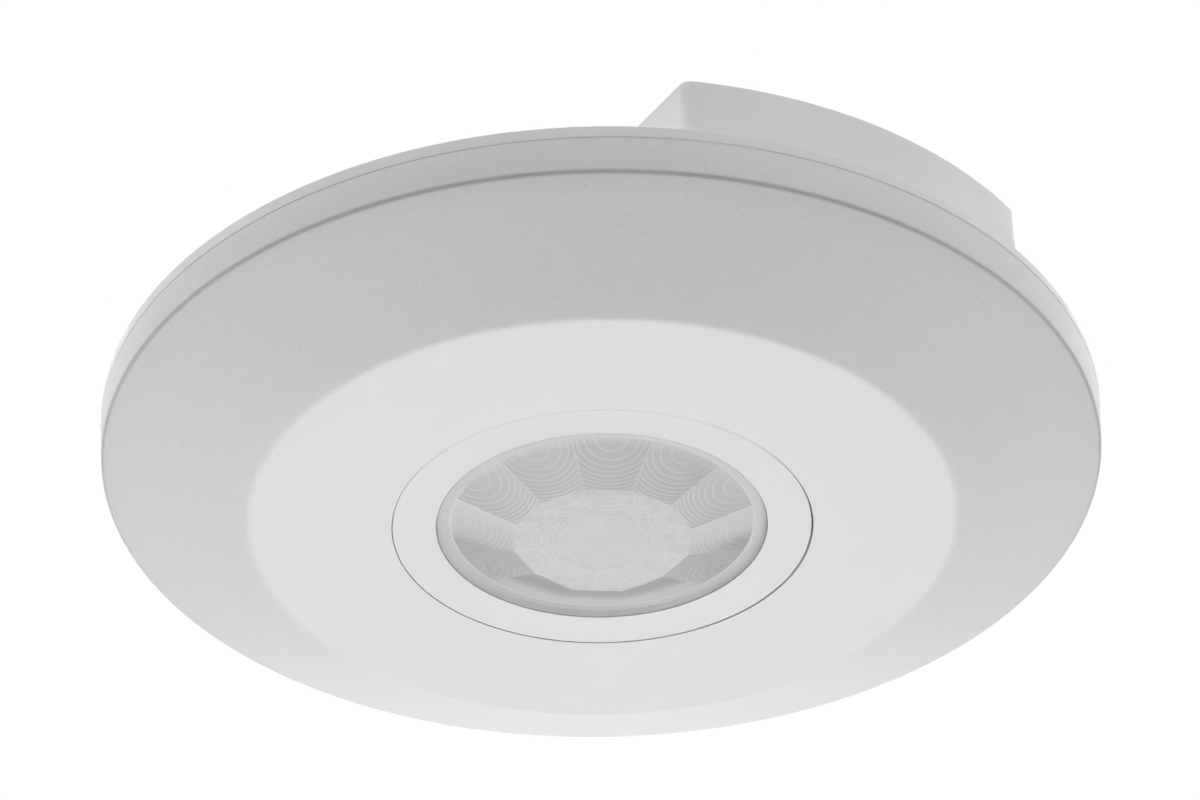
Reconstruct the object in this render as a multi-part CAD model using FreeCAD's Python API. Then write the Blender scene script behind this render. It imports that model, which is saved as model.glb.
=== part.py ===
import FreeCAD, Part
import math
import os
from FreeCAD import Vector

# Slim round ceiling presence sensor: a disc-shaped sensor head on a bar-shaped
# ceiling base. Millimetres. +Z points up into the ceiling, the ceiling touches
# z = 0, and the origin is the centre of the base's ceiling face. The bar runs
# along Y. The sensing face looks down, so "front" is -Z and "back" is +Z.

ORIGIN = Vector(0, 0, 0)
UP = Vector(0, 0, 1)

# ------------------------------------------------------ main dimensions
# ceiling base (bar)
BAR_HEIGHT = 8.65           # height of the bar above the disc's back
BAR_HALF_W = 22.55          # half width across the two flats
BAR_END_R = 57.1            # curved ends, concentric with the disc
BAR_WALL = 2.0
BAR_INNER_R = BAR_END_R - BAR_WALL
BAR_CORNER_R = 1.6          # vertical corners
BAR_CEILING_EDGE_R = 0.6
FIX_PITCH = 60.0            # between the two fixing slots
ENTRY_R = 7.0               # cable entry
ENTRY_Y = 13.0
WALL_Z = -BAR_WALL          # underside of the ceiling wall

# sensor head (disc)
BACK_Z = -BAR_HEIGHT        # back plane of the disc
RIM_R = 59.0                # largest radius, at the back edge
RIM_BAND = 1.3              # height of the back plate's share of the rim band
FACE_Z = BACK_Z - 13.0      # flat front face
SEAM_R = 24.65              # seat for the trim ring in the cover
FLOOR_Z = BACK_Z - 11.1     # floor of the trim ring seat, front side
FLOOR_BACK_Z = BACK_Z - 9.6
SEAT_R = 20.75              # lens seat
SEAT_Z = BACK_Z - 11.68
FLANGE_Z = BACK_Z - 12.05   # front of the lens flange

# circuit board
BOARD_R = 48.0
BOARD_BACK_Z = BACK_Z - 1.8
BOARD_FRONT_Z = BOARD_BACK_Z - 1.6
MOUNT_Z = BOARD_FRONT_Z - 0.03      # parts stand just clear of the board

# z spans that cut right through the plate and the board
THROUGH_PLATE = (BACK_Z - 3, BACK_Z + 1)
THROUGH_BOARD = (BOARD_FRONT_Z - 1, BOARD_BACK_Z + 1)

# features shared between pieces; angles are degrees from +X
CASE_SCREW_R = 40.0
CASE_ANGLES = (38, 142, 218, 322)
LUG_ANGLES = (90, 270)              # twist lock between head and base
TONGUE_ANGLES = (60, 120, 240, 300)
LEG_CIRCLE_R = 2.54                 # detector legs
LEG_ANGLES = (90, 210, 330)
ADJUSTER_X = 22.55                  # distance of each adjuster from the axis
LAMP_Y = 9.6                        # indicator at -Y, light sensor at +Y

# terminals
TERM_X = (-9.0, 0.0, 9.0)
TERM_Y = -11.0
POST_Z = -3.4                       # underside of the terminal block's posts
EAR_SCREW_X = 16.0
CONTACT_Z = (-4.85, -4.35)          # contact tongues, lower and upper faces

# head-to-base contacts: concentric blades gripped by pairs of jaws
JAW_R = (37.6, 41.4, 45.2)
JAW_ANGLE = -82.0
BLADE_HALF_L = 1.9


# -------------------------------------------------------------- helpers
def cylinder(radius, z0, z1, x=0.0, y=0.0):
    return Part.makeCylinder(radius, abs(z1 - z0), Vector(x, y, min(z0, z1)))


def tube(outer_r, inner_r, z0, z1):
    return cylinder(outer_r, z0, z1).cut(cylinder(inner_r, z0 - 1, z1 + 1))


def block(x0, x1, y0, y1, z0, z1):
    corner = Vector(min(x0, x1), min(y0, y1), min(z0, z1))
    return Part.makeBox(abs(x1 - x0), abs(y1 - y0), abs(z1 - z0), corner)


def block_at(x, y, half_x, half_y, z0, z1):
    """Block centred on (x, y)."""
    return block(x - half_x, x + half_x, y - half_y, y + half_y, z0, z1)


def soft_block(x0, x1, y0, y1, z0, z1, edge_r):
    solid = block(x0, x1, y0, y1, z0, z1)
    return solid.makeFillet(edge_r, solid.Edges)


def slot_y(radius, length, x, y, z0, z1):
    """Round-ended slot, long in Y."""
    half = (length - 2 * radius) / 2
    slot = block_at(x, y, radius, half, z0, z1)
    for end_y in (y - half, y + half):
        slot = slot.fuse(cylinder(radius, z0, z1, x, end_y))
    return slot.removeSplitter()


def polar(radius, angle):
    return radius * math.cos(math.radians(angle)), radius * math.sin(math.radians(angle))


def sector(inner_r, outer_r, angle, half_angle, z0, z1):
    """Part of a ring about Z, centred on an angle."""
    low, high = min(z0, z1), max(z0, z1)
    solid = Part.makeCylinder(outer_r, high - low, Vector(0, 0, low), UP, 2 * half_angle)
    solid = solid.cut(cylinder(inner_r, low - 1, high + 1))
    solid.rotate(ORIGIN, UP, angle - half_angle)
    return solid


def blade_sector(radius, half_thick, half_length, z0, z1):
    """Sector at the contacts' angle, sized by its length along the arc."""
    half_angle = math.degrees(half_length / radius)
    return sector(radius - half_thick, radius + half_thick, JAW_ANGLE, half_angle, z0, z1)


def profile(points):
    """Closed wire in the XZ plane from (radius, z[, corner radius]) points."""
    count = len(points)
    corners = [Vector(point[0], 0, point[1]) for point in points]
    starts, ends, arcs = [], [], []
    for i, corner in enumerate(corners):
        if len(points[i]) < 3:
            starts.append(corner)
            ends.append(corner)
            arcs.append(None)
            continue
        radius = points[i][2]
        to_previous = (corners[i - 1] - corner).normalize()
        to_next = (corners[(i + 1) % count] - corner).normalize()
        angle = math.acos(max(-1, min(1, to_previous.dot(to_next))))
        setback = radius / math.tan(angle / 2)
        start = corner + to_previous * setback
        end = corner + to_next * setback
        bisector = (to_previous + to_next).normalize()
        centre = corner + bisector * (radius / math.sin(angle / 2))
        starts.append(start)
        ends.append(end)
        arcs.append(Part.Arc(start, centre - bisector * radius, end).toShape())
    edges = []
    for i in range(count):
        if arcs[i] is not None:
            edges.append(arcs[i])
        next_start = starts[(i + 1) % count]
        if (ends[i] - next_start).Length > 1e-6:
            edges.append(Part.makeLine(ends[i], next_start))
    return Part.Wire(Part.__sortEdges__(edges))


def spin(points):
    """Solid of revolution about Z from a profile."""
    return Part.Face(profile(points)).revolve(ORIGIN, UP, 360)


def fuse_all(shapes):
    return shapes[0].multiFuse(shapes[1:]).removeSplitter()


def upright_edges(solid):
    return [e for e in solid.Edges if abs(e.Vertexes[0].Z - e.Vertexes[-1].Z) > 0.5]


def circle_edges(solid):
    return [e for e in solid.Edges if e.Curve.TypeId == "Part::GeomCircle"]


def cross_screw(x, y, head_z, head_r, head_h, shaft_r, length, up):
    """Cross-head screw; its shaft runs up from the head (up=1) or down (up=-1)."""
    head = cylinder(head_r, head_z, head_z + up * head_h, x, y)
    shaft = cylinder(shaft_r, head_z + up * head_h * 0.9, head_z + up * length, x, y)
    screw = head.fuse(shaft).removeSplitter()
    recess = (head_z - up * 0.1, head_z + up * head_h * 0.55)
    arm = head_r * 0.62
    half_w = head_r * 0.17
    screw = screw.cut(block_at(x, y, arm, half_w, *recess))
    screw = screw.cut(block_at(x, y, half_w, arm, *recess))
    return screw.removeSplitter()


# --------------------------------------------------------- ceiling base
def bar_solid(half_width, end_r, corner_r, z0, z1):
    """Circle cut by two flats, with rounded corners, between two heights."""
    end_y = math.sqrt(end_r**2 - half_width**2)
    corners = [
        Vector(half_width, -end_y, 0), Vector(half_width, end_y, 0),
        Vector(-half_width, end_y, 0), Vector(-half_width, -end_y, 0),
    ]
    outline = Part.Wire([
        Part.makeLine(corners[0], corners[1]),
        Part.Arc(corners[1], Vector(0, end_r, 0), corners[2]).toShape(),
        Part.makeLine(corners[2], corners[3]),
        Part.Arc(corners[3], Vector(0, -end_r, 0), corners[0]).toShape(),
    ])
    # round a thin slice, then extrude its bottom face
    thin = Part.Face(outline).extrude(UP)
    thin = thin.makeFillet(corner_r, upright_edges(thin))
    bottom = [f for f in thin.Faces if abs(f.CenterOfMass.z) < 1e-6][0]
    face = Part.Face(bottom.OuterWire)
    face.translate(Vector(0, 0, z0))
    return face.extrude(Vector(0, 0, z1 - z0))


def mounting_base():
    shell = bar_solid(BAR_HALF_W, BAR_END_R, BAR_CORNER_R, BACK_Z + 0.12, 0)
    ceiling_edges = [
        e for e in shell.Edges
        if abs(e.BoundBox.ZMin) < 1e-6 and abs(e.BoundBox.ZMax) < 1e-6
    ]
    shell = shell.makeFillet(BAR_CEILING_EDGE_R, ceiling_edges)
    base = shell.cut(bar_solid(BAR_HALF_W - BAR_WALL, BAR_INNER_R, 1.0, BACK_Z - 1, WALL_Z))
    # ribs that stiffen the ceiling wall
    for x in (-17.0, 17.0):
        base = base.fuse(block_at(x, 0, 0.6, 33, -3.2, WALL_Z))
    # curved shelves that carry the head's lugs, each with an end stop
    shelf = (50.2, BAR_INNER_R + 0.5)   # radii; the outer one bites into the wall
    shelf_z = BACK_Z + 0.55
    for angle in LUG_ANGLES:
        base = base.fuse(sector(*shelf, angle, 7, shelf_z, BACK_Z + 1.9))
        base = base.fuse(sector(*shelf, angle + 8, 1, shelf_z, WALL_Z))
    # collar that holds the cable grommet, bosses around the fixing slots
    base = base.fuse(cylinder(ENTRY_R + 2.4, -3.4, WALL_Z, 0, ENTRY_Y))
    for side in (-1, 1):
        base = base.fuse(slot_y(4.6, 12.6, 0, side * FIX_PITCH / 2, -2.8, WALL_Z))
    # posts that carry the terminal block
    for x in (-15.6, 15.6):
        base = base.fuse(block_at(x, TERM_Y, 1.2, 4, POST_Z, WALL_Z))
    # cable entry and fixing slots
    base = base.cut(cylinder(ENTRY_R, -5, 1, 0, ENTRY_Y))
    for side in (-1, 1):
        base = base.cut(slot_y(2.2, 9.0, 0, side * FIX_PITCH / 2, -5, 1))
    # shallow ventilation and weight-saving recesses in the ceiling face
    for side in (-1, 1):
        for x in (-13.0, 13.0):
            base = base.cut(slot_y(3.2, 26.0, x, side * 34.0, -0.7, 1))
    # break-out panel for a surface cable, thinned from inside the +Y end
    base = base.cut(block(-5, 5, BAR_INNER_R - 3, BAR_INNER_R + 1.0, -6.2, WALL_Z - 0.2))
    base = base.removeSplitter()
    # pilot holes for the terminal block's screws
    for x in (-EAR_SCREW_X, EAR_SCREW_X):
        base = base.cut(cylinder(1.02, -4, -0.75, x, TERM_Y))
    return base


def cable_grommet():
    """Rubber grommet snapped into the cable entry."""
    bore_r = 5.4
    grommet = tube(ENTRY_R - 0.07, bore_r, -4.2, -0.25).fuse(tube(8.6, bore_r, -4.3, -3.46))
    grommet = grommet.fuse(tube(6.0, 4.0, -2.2, -1.5))
    grommet.translate(Vector(0, ENTRY_Y, 0))
    return grommet.removeSplitter()


# ------------------------------------------------------------ terminals
def terminal_block():
    bottom_z = BACK_Z + 0.5
    body = block_at(0, TERM_Y, 14.2, 5.5, bottom_z, -2.25)
    ears = block_at(0, TERM_Y, 17.0, 3.4, -4.9, POST_Z - 0.05)
    body = body.fuse(ears)
    for x in TERM_X:
        # cage cavity, cable opening at +Y, contact strip opening at -Y
        body = body.cut(block_at(x, TERM_Y, 3.0, 3.1, -6.9, -2.35))
        body = body.cut(block(x - 1.9, x + 1.9, TERM_Y + 2, TERM_Y + 6, -4.55, -2.95))
        body = body.cut(block(x - 1.6, x + 1.6, TERM_Y - 6, TERM_Y - 2, -5.05, -4.15))
        # screwdriver well with the seat of the screw head
        body = body.cut(cylinder(2.35, bottom_z - 1, -6.4, x, TERM_Y))
    # grooves between the terminals
    for x in (-4.5, 4.5):
        body = body.cut(block_at(x, TERM_Y, 0.4, 6, bottom_z - 1, bottom_z + 1.2))
    for x in (-EAR_SCREW_X, EAR_SCREW_X):
        body = body.cut(cylinder(1.05, -6, -1, x, TERM_Y))
    return body.removeSplitter()


def terminal_block_screws():
    """Two small screws hold the terminal block to the base posts."""
    return Part.makeCompound([
        cross_screw(x, TERM_Y, head_z=-5.75, head_r=1.7, head_h=0.8,
                    shaft_r=0.98, length=4.9, up=1)
        for x in (-EAR_SCREW_X, EAR_SCREW_X)
    ])


def terminal_screw(x):
    """Captive screw with a driver slot in its lower face."""
    head = cylinder(2.2, -7.65, -6.87, x, TERM_Y)
    shaft = cylinder(1.25, -7.0, CONTACT_Z[0] - 0.02, x, TERM_Y)
    screw = head.fuse(shaft).removeSplitter()
    return screw.cut(block_at(x, TERM_Y, 2.4, 0.3, -7.8, -7.2))


def terminal_cage(x):
    """Rising cage, open along Y."""
    cage = block_at(x, TERM_Y, 2.8, 2.4, -5.65, -2.5)
    cage = cage.cut(block_at(x, TERM_Y, 2.1, 3, -4.95, -3.1))
    return cage.cut(cylinder(1.30, -6, -4, x, TERM_Y))


# Path of each contact strip: terminal x, x of its run along Y, y of its run along X
STRIP_PATHS = (
    (TERM_X[0], 8.2, -21.6),
    (TERM_X[1], 11.2, -19.6),
    (TERM_X[2], 14.2, -17.6),
)


def contact_strips():
    """Tongue inside each cage, a run along the base, and a pair of jaws."""
    strip_half_w = 0.75
    strip_z = (-2.62, -2.12)
    tongue_half_w = 1.5
    strips = []
    for (term_x, run_x, cross_y), radius in zip(STRIP_PATHS, JAW_R):
        jaw_x, jaw_y = polar(radius, JAW_ANGLE)
        tongue_x = (term_x - tongue_half_w, term_x + tongue_half_w)
        run_end_x = run_x + strip_half_w
        parts = [
            # tongue and its riser
            block(*tongue_x, TERM_Y - 5.9, TERM_Y + 2.0, *CONTACT_Z),
            block(*tongue_x, TERM_Y - 6.4, TERM_Y - 5.8, CONTACT_Z[0], strip_z[1]),
            # run from the terminal to the jaws' foot
            block(term_x - strip_half_w, term_x + strip_half_w,
                  cross_y - strip_half_w, TERM_Y - 5.8, *strip_z),
            block(term_x - strip_half_w, run_end_x,
                  cross_y - strip_half_w, cross_y + strip_half_w, *strip_z),
            block(run_x - strip_half_w, run_end_x,
                  jaw_y - strip_half_w, cross_y + strip_half_w, *strip_z),
            block(jaw_x - 2.0, run_end_x, jaw_y - 1.3, jaw_y + 1.3, *strip_z),
        ]
        for offset in (-0.65, 0.65):
            middle_r = radius + offset
            parts.append(sector(middle_r - 0.2, middle_r + 0.2, JAW_ANGLE,
                                math.degrees(2.0 / radius), BACK_Z + 1.0, strip_z[1]))
        strips.append(fuse_all(parts))
    return Part.makeCompound(strips)


# ------------------------------------------------------ head back plate
def back_plate():
    plate = spin([
        (0, BACK_Z), (RIM_R, BACK_Z, 0.12), (RIM_R - 0.02, BACK_Z - RIM_BAND),
        (57.0, BACK_Z - RIM_BAND), (56.9, BACK_Z - 3.4, 0.3), (55.3, BACK_Z - 3.4, 0.3),
        (55.3, BACK_Z - 1.5), (0, BACK_Z - 1.5),
    ])
    # pads around the case screws
    for angle in CASE_ANGLES:
        x, y = polar(CASE_SCREW_R, angle)
        plate = plate.fuse(cylinder(3.3, BACK_Z - 1.78, BACK_Z - 1.0, x, y))
    # lugs that rise into the base and lock over its shelves: wall, hook, rib
    for angle in LUG_ANGLES:
        plate = plate.fuse(sector(46.9, 48.6, angle, 6, BACK_Z - 0.5, BACK_Z + 5.0))
        plate = plate.fuse(sector(48.4, 53.6, angle, 6, BACK_Z + 2.0, BACK_Z + 3.5))
        plate = plate.fuse(sector(47.0, 53.0, angle, 0.8, BACK_Z + 3.3, BACK_Z + 4.8))
    # screw holes and head recesses
    for angle in CASE_ANGLES:
        x, y = polar(CASE_SCREW_R, angle)
        plate = plate.cut(cylinder(1.35, *THROUGH_PLATE, x, y))
        plate = plate.cut(cylinder(2.5, BACK_Z - 0.95, BACK_Z + 1, x, y))
    # slots for the three contact blades
    for radius in JAW_R:
        plate = plate.cut(blade_sector(radius, 0.65, BLADE_HALF_L + 0.25, *THROUGH_PLATE))
    # a row of cooling slots either side of the bar
    for middle in (0, 180):
        for offset in range(-24, 25, 8):
            plate = plate.cut(sector(30.0, 37.0, middle + offset, 1.2, *THROUGH_PLATE))
    return plate.removeSplitter()


# ---------------------------------------------------------- front cover
COVER_WALL = 1.8
COVER_BORE_R = 57.15        # inside of the rim band
COVER_GAP = 0.1             # gap to the back plate
CREASE_R = 58.72            # where the rim band meets the cone
CREASE_Z = BACK_Z - 6.0
FACE_R = 41.4               # where the cone meets the flat face
OPENING_R = 18.2            # opening behind the lens
HUB_R = 26.4                # outside of the wall around the trim ring seat


def front_cover():
    # inner cone: the outer cone moved inwards by the wall thickness
    cone_dr = CREASE_R - FACE_R
    cone_dz = CREASE_Z - FACE_Z
    cone_length = math.hypot(cone_dr, cone_dz)
    shift_r = -COVER_WALL * cone_dz / cone_length
    shift_z = COVER_WALL * cone_dr / cone_length
    bore_z = CREASE_Z + shift_z - (CREASE_R + shift_r - COVER_BORE_R) * cone_dz / cone_dr
    inner_face_z = FACE_Z + COVER_WALL
    inner_face_r = FACE_R + shift_r + (inner_face_z - FACE_Z - shift_z) * cone_dr / cone_dz
    top_z = BACK_Z - RIM_BAND - COVER_GAP
    cover = spin([
        (RIM_R - 0.03, top_z), (CREASE_R, CREASE_Z, 0.8), (FACE_R, FACE_Z, 2.2),
        (SEAM_R, FACE_Z, 0.12), (SEAM_R, FLOOR_Z), (SEAT_R, FLOOR_Z), (SEAT_R, SEAT_Z),
        (OPENING_R, SEAT_Z), (OPENING_R, FLOOR_BACK_Z), (HUB_R, FLOOR_BACK_Z),
        (HUB_R, inner_face_z), (inner_face_r, inner_face_z),
        (COVER_BORE_R, bore_z), (COVER_BORE_R, top_z),
    ])
    # ribbed screw posts, trimmed to stay inside the shell
    post_limit = spin([
        (0, BACK_Z - 1), (56.5, BACK_Z - 1), (56.5, bore_z - 0.2),
        (inner_face_r - 0.2, inner_face_z - 0.6), (0, inner_face_z - 0.6),
    ])
    for angle in CASE_ANGLES:
        x, y = polar(CASE_SCREW_R, angle)
        post = cylinder(2.7, MOUNT_Z, FACE_Z + 1.0, x, y)
        for rib_angle in (angle, angle + 90):
            rib = block_at(0, 0, 4.2, 0.6, BOARD_FRONT_Z - 8.0, BOARD_FRONT_Z - 2.5)
            rib.rotate(ORIGIN, UP, rib_angle)
            rib.translate(Vector(x, y, 0))
            post = post.fuse(rib)
        cover = cover.fuse(post.common(post_limit))
    for angle in CASE_ANGLES:
        x, y = polar(CASE_SCREW_R, angle)
        cover = cover.cut(cylinder(1.24, BOARD_FRONT_Z + 1, BACK_Z - 10.0, x, y))
    # adjuster holes, and slots for the trim ring's tongues
    for x in (ADJUSTER_X, -ADJUSTER_X):
        cover = cover.cut(cylinder(2.05, FLOOR_BACK_Z + 1, FLOOR_Z - 1, x, 0))
    for angle in TONGUE_ANGLES:
        cover = cover.cut(sector(23.35, 24.55, angle, 6.5, FLOOR_BACK_Z + 1, FLOOR_Z - 0.01))
    return cover.removeSplitter()


# ------------------------------------------------------------ trim ring
def trim_ring():
    """Slightly dished ring round the lens, set just inside the front face."""
    outer_r = SEAM_R - 0.2
    inner_r = 19.48
    outer_z = FACE_Z + 0.08
    back_z = FLOOR_Z - 0.04
    groove_z = FACE_Z + 1.05
    lip_z = FLANGE_Z - 0.03
    ring = spin([
        (outer_r, outer_z, 0.12), (outer_r, back_z), (outer_r - 0.9, back_z),
        (outer_r - 0.9, groove_z), (21.6, groove_z), (21.6, back_z),
        (20.85, back_z), (20.85, lip_z), (inner_r, lip_z),
        (inner_r, outer_z + 0.3, 0.12),
    ])
    for angle in TONGUE_ANGLES:
        ring = ring.fuse(sector(23.45, 24.4, angle, 6.0, FACE_Z + 0.9, FLOOR_BACK_Z + 1.2))
    return ring.removeSplitter()


# ----------------------------------------------------------------- lens
# A ring of twelve large facets, a ring of twelve small ones and a shallow cap.
LENS_THICK = 0.6
LENS_SIDES = 12
LENS_TURN = -44.0           # angle of the first facet boundary
# facet corner circles: radius, z
LENS_RINGS = ((18.0, BACK_Z - 12.35), (10.60, BACK_Z - 14.27), (5.30, BACK_Z - 14.31))
LENS_TIP_Z = BACK_Z - 14.35
LENS_FLANGE_R = SEAT_R - 0.15
LENS_FLANGE_BORE_R = 15.5
LENS_PLUG_R = 19.40         # shoulder that fills the trim ring's opening
LENS_PLUG_Z = BACK_Z - 12.55


def lens_circle(radius, z):
    step = 360 / LENS_SIDES
    return [Vector(*polar(radius, step * i + LENS_TURN), z) for i in range(LENS_SIDES)]


def triangle(a, b, c):
    return Part.Face(Part.makePolygon([a, b, c, a]))


def quad(a, b, c, d):
    return [triangle(a, b, c), triangle(a, c, d)]


def lens_skin(offset):
    """Facets raised by an offset, and the corners of their outer edge."""
    rings = [lens_circle(radius, z + offset) for radius, z in LENS_RINGS]
    tip = Vector(0, 0, LENS_TIP_Z + offset)
    faces = []
    for i in range(LENS_SIDES):
        j = (i + 1) % LENS_SIDES
        for outer, inner in zip(rings, rings[1:]):
            faces += quad(outer[i], outer[j], inner[j], inner[i])
        faces.append(triangle(rings[-1][i], rings[-1][j], tip))
    return faces, rings[0]


def fresnel_lens():
    front, front_edge = lens_skin(0.0)
    back, back_edge = lens_skin(LENS_THICK)
    side = []
    for i in range(LENS_SIDES):
        j = (i + 1) % LENS_SIDES
        side += quad(front_edge[i], front_edge[j], back_edge[j], back_edge[i])
    dome = Part.makeSolid(Part.makeShell(front + back + side))
    # guards against a shell that comes out facing inwards
    if dome.Volume < 0:
        dome.reverse()
    # the shoulder's front continues to the facets' outer edge
    edge_r, edge_z = LENS_RINGS[0]
    slope = (LENS_PLUG_Z - edge_z) / (LENS_PLUG_R - edge_r)
    bore_r = LENS_FLANGE_BORE_R
    flange = tube(LENS_FLANGE_R, bore_r, FLANGE_Z, SEAT_Z - 0.02)
    flange = flange.fuse(spin([
        (LENS_PLUG_R, FLANGE_Z + 0.1), (LENS_PLUG_R, LENS_PLUG_Z, 0.06),
        (bore_r, edge_z + slope * (bore_r - edge_r)), (bore_r, FLANGE_Z + 0.1),
    ]))
    # twelve-sided opening, a little smaller than the dome so the two overlap
    outline = lens_circle(edge_r - 0.02, 0)
    core = Part.Face(Part.makePolygon(outline + [outline[0]])).extrude(Vector(0, 0, 10))
    core.translate(Vector(0, 0, BACK_Z - 16))
    return flange.cut(core).fuse(dome).removeSplitter()


# ------------------------------------------------------ board and blades
def circuit_board():
    board = cylinder(BOARD_R, BOARD_FRONT_Z, BOARD_BACK_Z)
    for angle in CASE_ANGLES:
        board = board.cut(cylinder(1.45, *THROUGH_BOARD, *polar(CASE_SCREW_R, angle)))
    for radius in JAW_R:
        board = board.cut(blade_sector(radius, 0.45, 1.0, *THROUGH_BOARD))
    # isolation slot between the mains side and the sensing side
    board = board.cut(sector(27.4, 28.9, 266, 34, *THROUGH_BOARD))
    for angle in LEG_ANGLES:
        board = board.cut(cylinder(0.35, *THROUGH_BOARD, *polar(LEG_CIRCLE_R, angle)))
    return board.removeSplitter()


def contact_blades():
    """Wide above the board, with a narrow root soldered through it."""
    blades = []
    for radius in JAW_R:
        blade = blade_sector(radius, 0.4, BLADE_HALF_L, BOARD_BACK_Z + 0.03, -3.4)
        root = blade_sector(radius, 0.4, 0.95, BOARD_FRONT_Z - 0.8, BOARD_BACK_Z + 0.1)
        blades.append(blade.fuse(root).removeSplitter())
    return Part.makeCompound(blades)


# --------------------------------------------------------- sensing parts
CAN_FACE_Z = BOARD_FRONT_Z - 4.2    # front of the detector can


def infrared_detector():
    """Flanged metal can with a window opening and three leg sockets."""
    flange_z = (BOARD_FRONT_Z - 0.05, BOARD_FRONT_Z - 0.5)
    can = spin([
        (0, flange_z[0]), (4.75, flange_z[0]), (4.75, flange_z[1]), (4.15, flange_z[1]),
        (4.15, CAN_FACE_Z, 0.45), (0, CAN_FACE_Z),
    ])
    can = can.cut(block_at(0, 0, 2.35, 1.75, CAN_FACE_Z - 1, CAN_FACE_Z + 0.5))
    for angle in LEG_ANGLES:
        x, y = polar(LEG_CIRCLE_R, angle)
        can = can.cut(cylinder(0.3, BOARD_FRONT_Z - 0.45, BOARD_FRONT_Z + 1, x, y))
    return can.removeSplitter()


def detector_window():
    return block_at(0, 0, 2.3, 1.7, CAN_FACE_Z + 0.06, CAN_FACE_Z + 0.45)


def detector_legs():
    return Part.makeCompound([
        cylinder(0.23, BOARD_FRONT_Z - 0.42, BOARD_BACK_Z + 0.2, *polar(LEG_CIRCLE_R, angle))
        for angle in LEG_ANGLES
    ])


def sensor_funnel():
    """Funnel between the detector and the lens, pierced for the two lamps."""
    funnel = spin([
        (5.1, MOUNT_Z), (6.0, MOUNT_Z), (6.0, BACK_Z - 6.7), (17.9, BACK_Z - 10.8),
        (17.9, BACK_Z - 11.3), (17.1, BACK_Z - 11.3), (5.1, BACK_Z - 7.1),
    ])
    for y in (-LAMP_Y, LAMP_Y):
        funnel = funnel.cut(cylinder(1.8, BACK_Z - 12, BOARD_FRONT_Z - 1.5, 0, y))
    return funnel.removeSplitter()


def round_lamp(y):
    """Round-tipped lamp body on a wider foot."""
    radius = 1.5
    cap_z = BACK_Z - 9.8 + radius
    body = cylinder(radius, BOARD_FRONT_Z - 1.6, cap_z, 0, y)
    cap = Part.makeSphere(radius, Vector(0, y, cap_z))
    foot = cylinder(radius + 0.35, BOARD_FRONT_Z - 1.7, BOARD_FRONT_Z - 0.7, 0, y)
    return body.fuse(cap).fuse(foot).removeSplitter()


# ------------------------------------------------------------- adjusters
SHAFT_R = 1.8


def potentiometer(side):
    """Square body on the board; side is the sign of its x."""
    x = side * ADJUSTER_X
    body = block_at(x, 0, 3.3, 3.3, BOARD_FRONT_Z - 3.4, MOUNT_Z)
    body = body.makeFillet(0.3, upright_edges(body))
    body = body.fuse(cylinder(2.6, BOARD_FRONT_Z - 3.9, BOARD_FRONT_Z - 3.2, x, 0))
    bore = cylinder(SHAFT_R + 0.05, BOARD_FRONT_Z - 5, BOARD_FRONT_Z - 1.6, x, 0)
    return body.cut(bore).removeSplitter()


def adjuster(side):
    """Turned shaft with a driver slot and a pointer notch facing outwards."""
    x = side * ADJUSTER_X
    tip_z = FLOOR_Z + 0.12
    shaft = cylinder(SHAFT_R, BOARD_FRONT_Z - 1.7, tip_z, x, 0)
    tip_edges = [e for e in shaft.Edges if e.BoundBox.ZMax < tip_z + 0.1]
    shaft = shaft.makeChamfer(0.25, tip_edges)
    shaft = shaft.cut(block_at(x, 0, 1.9, 0.35, tip_z - 1, tip_z + 0.8))
    notch = block(x + side * 0.6, x + side * 1.9, -0.6, 0.6, tip_z - 1, tip_z + 0.3)
    return shaft.cut(notch).removeSplitter()


# -------------------------------------------------- mains and logic parts
def relay():
    return soft_block(-10.2, 10.2, 27.0, 41.4, BOARD_FRONT_Z - 6.9, MOUNT_Z, 0.4)


def suppression_capacitor():
    return soft_block(-39.2, -27.6, -6.4, 6.4, BOARD_FRONT_Z - 6.0, MOUNT_Z, 0.4)


def smoothing_capacitors():
    """Two cans lying along X, grooved and rounded near their +X ends."""
    x0, x1 = 27.6, 38.4
    radius = 3.15
    z = BOARD_FRONT_Z - 3.4
    along = Vector(1, 0, 0)
    cans = []
    for y in (7.4, -7.4):
        can = Part.makeCylinder(radius, x1 - x0, Vector(x0, y, z), along)
        can = can.cut(Part.makeTorus(radius + 0.1, 0.35, Vector(x1 - 1.8, y, z), along))
        end_edges = [
            e for e in can.Edges
            if abs(e.BoundBox.XMin - x1) < 1e-3 and abs(e.BoundBox.XMax - x1) < 1e-3
        ]
        cans.append(can.makeFillet(0.3, end_edges))
    return Part.makeCompound(cans)


def surge_protector():
    disc = Part.makeCylinder(3.9, 3.6, Vector(-21.5, -27.5, BOARD_FRONT_Z - 4.0))
    return disc.makeFillet(1.2, circle_edges(disc))


def fuse_resistor():
    start = Vector(-10.0, -35.5, BOARD_FRONT_Z - 2.1)
    body = Part.makeCylinder(1.8, 8.6, start, Vector(1, 0, 0))
    return body.makeFillet(0.5, circle_edges(body))


def bridge_rectifier():
    return soft_block(16.0, 22.4, -30.6, -25.4, BOARD_FRONT_Z - 2.6, MOUNT_Z, 0.25)


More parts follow.
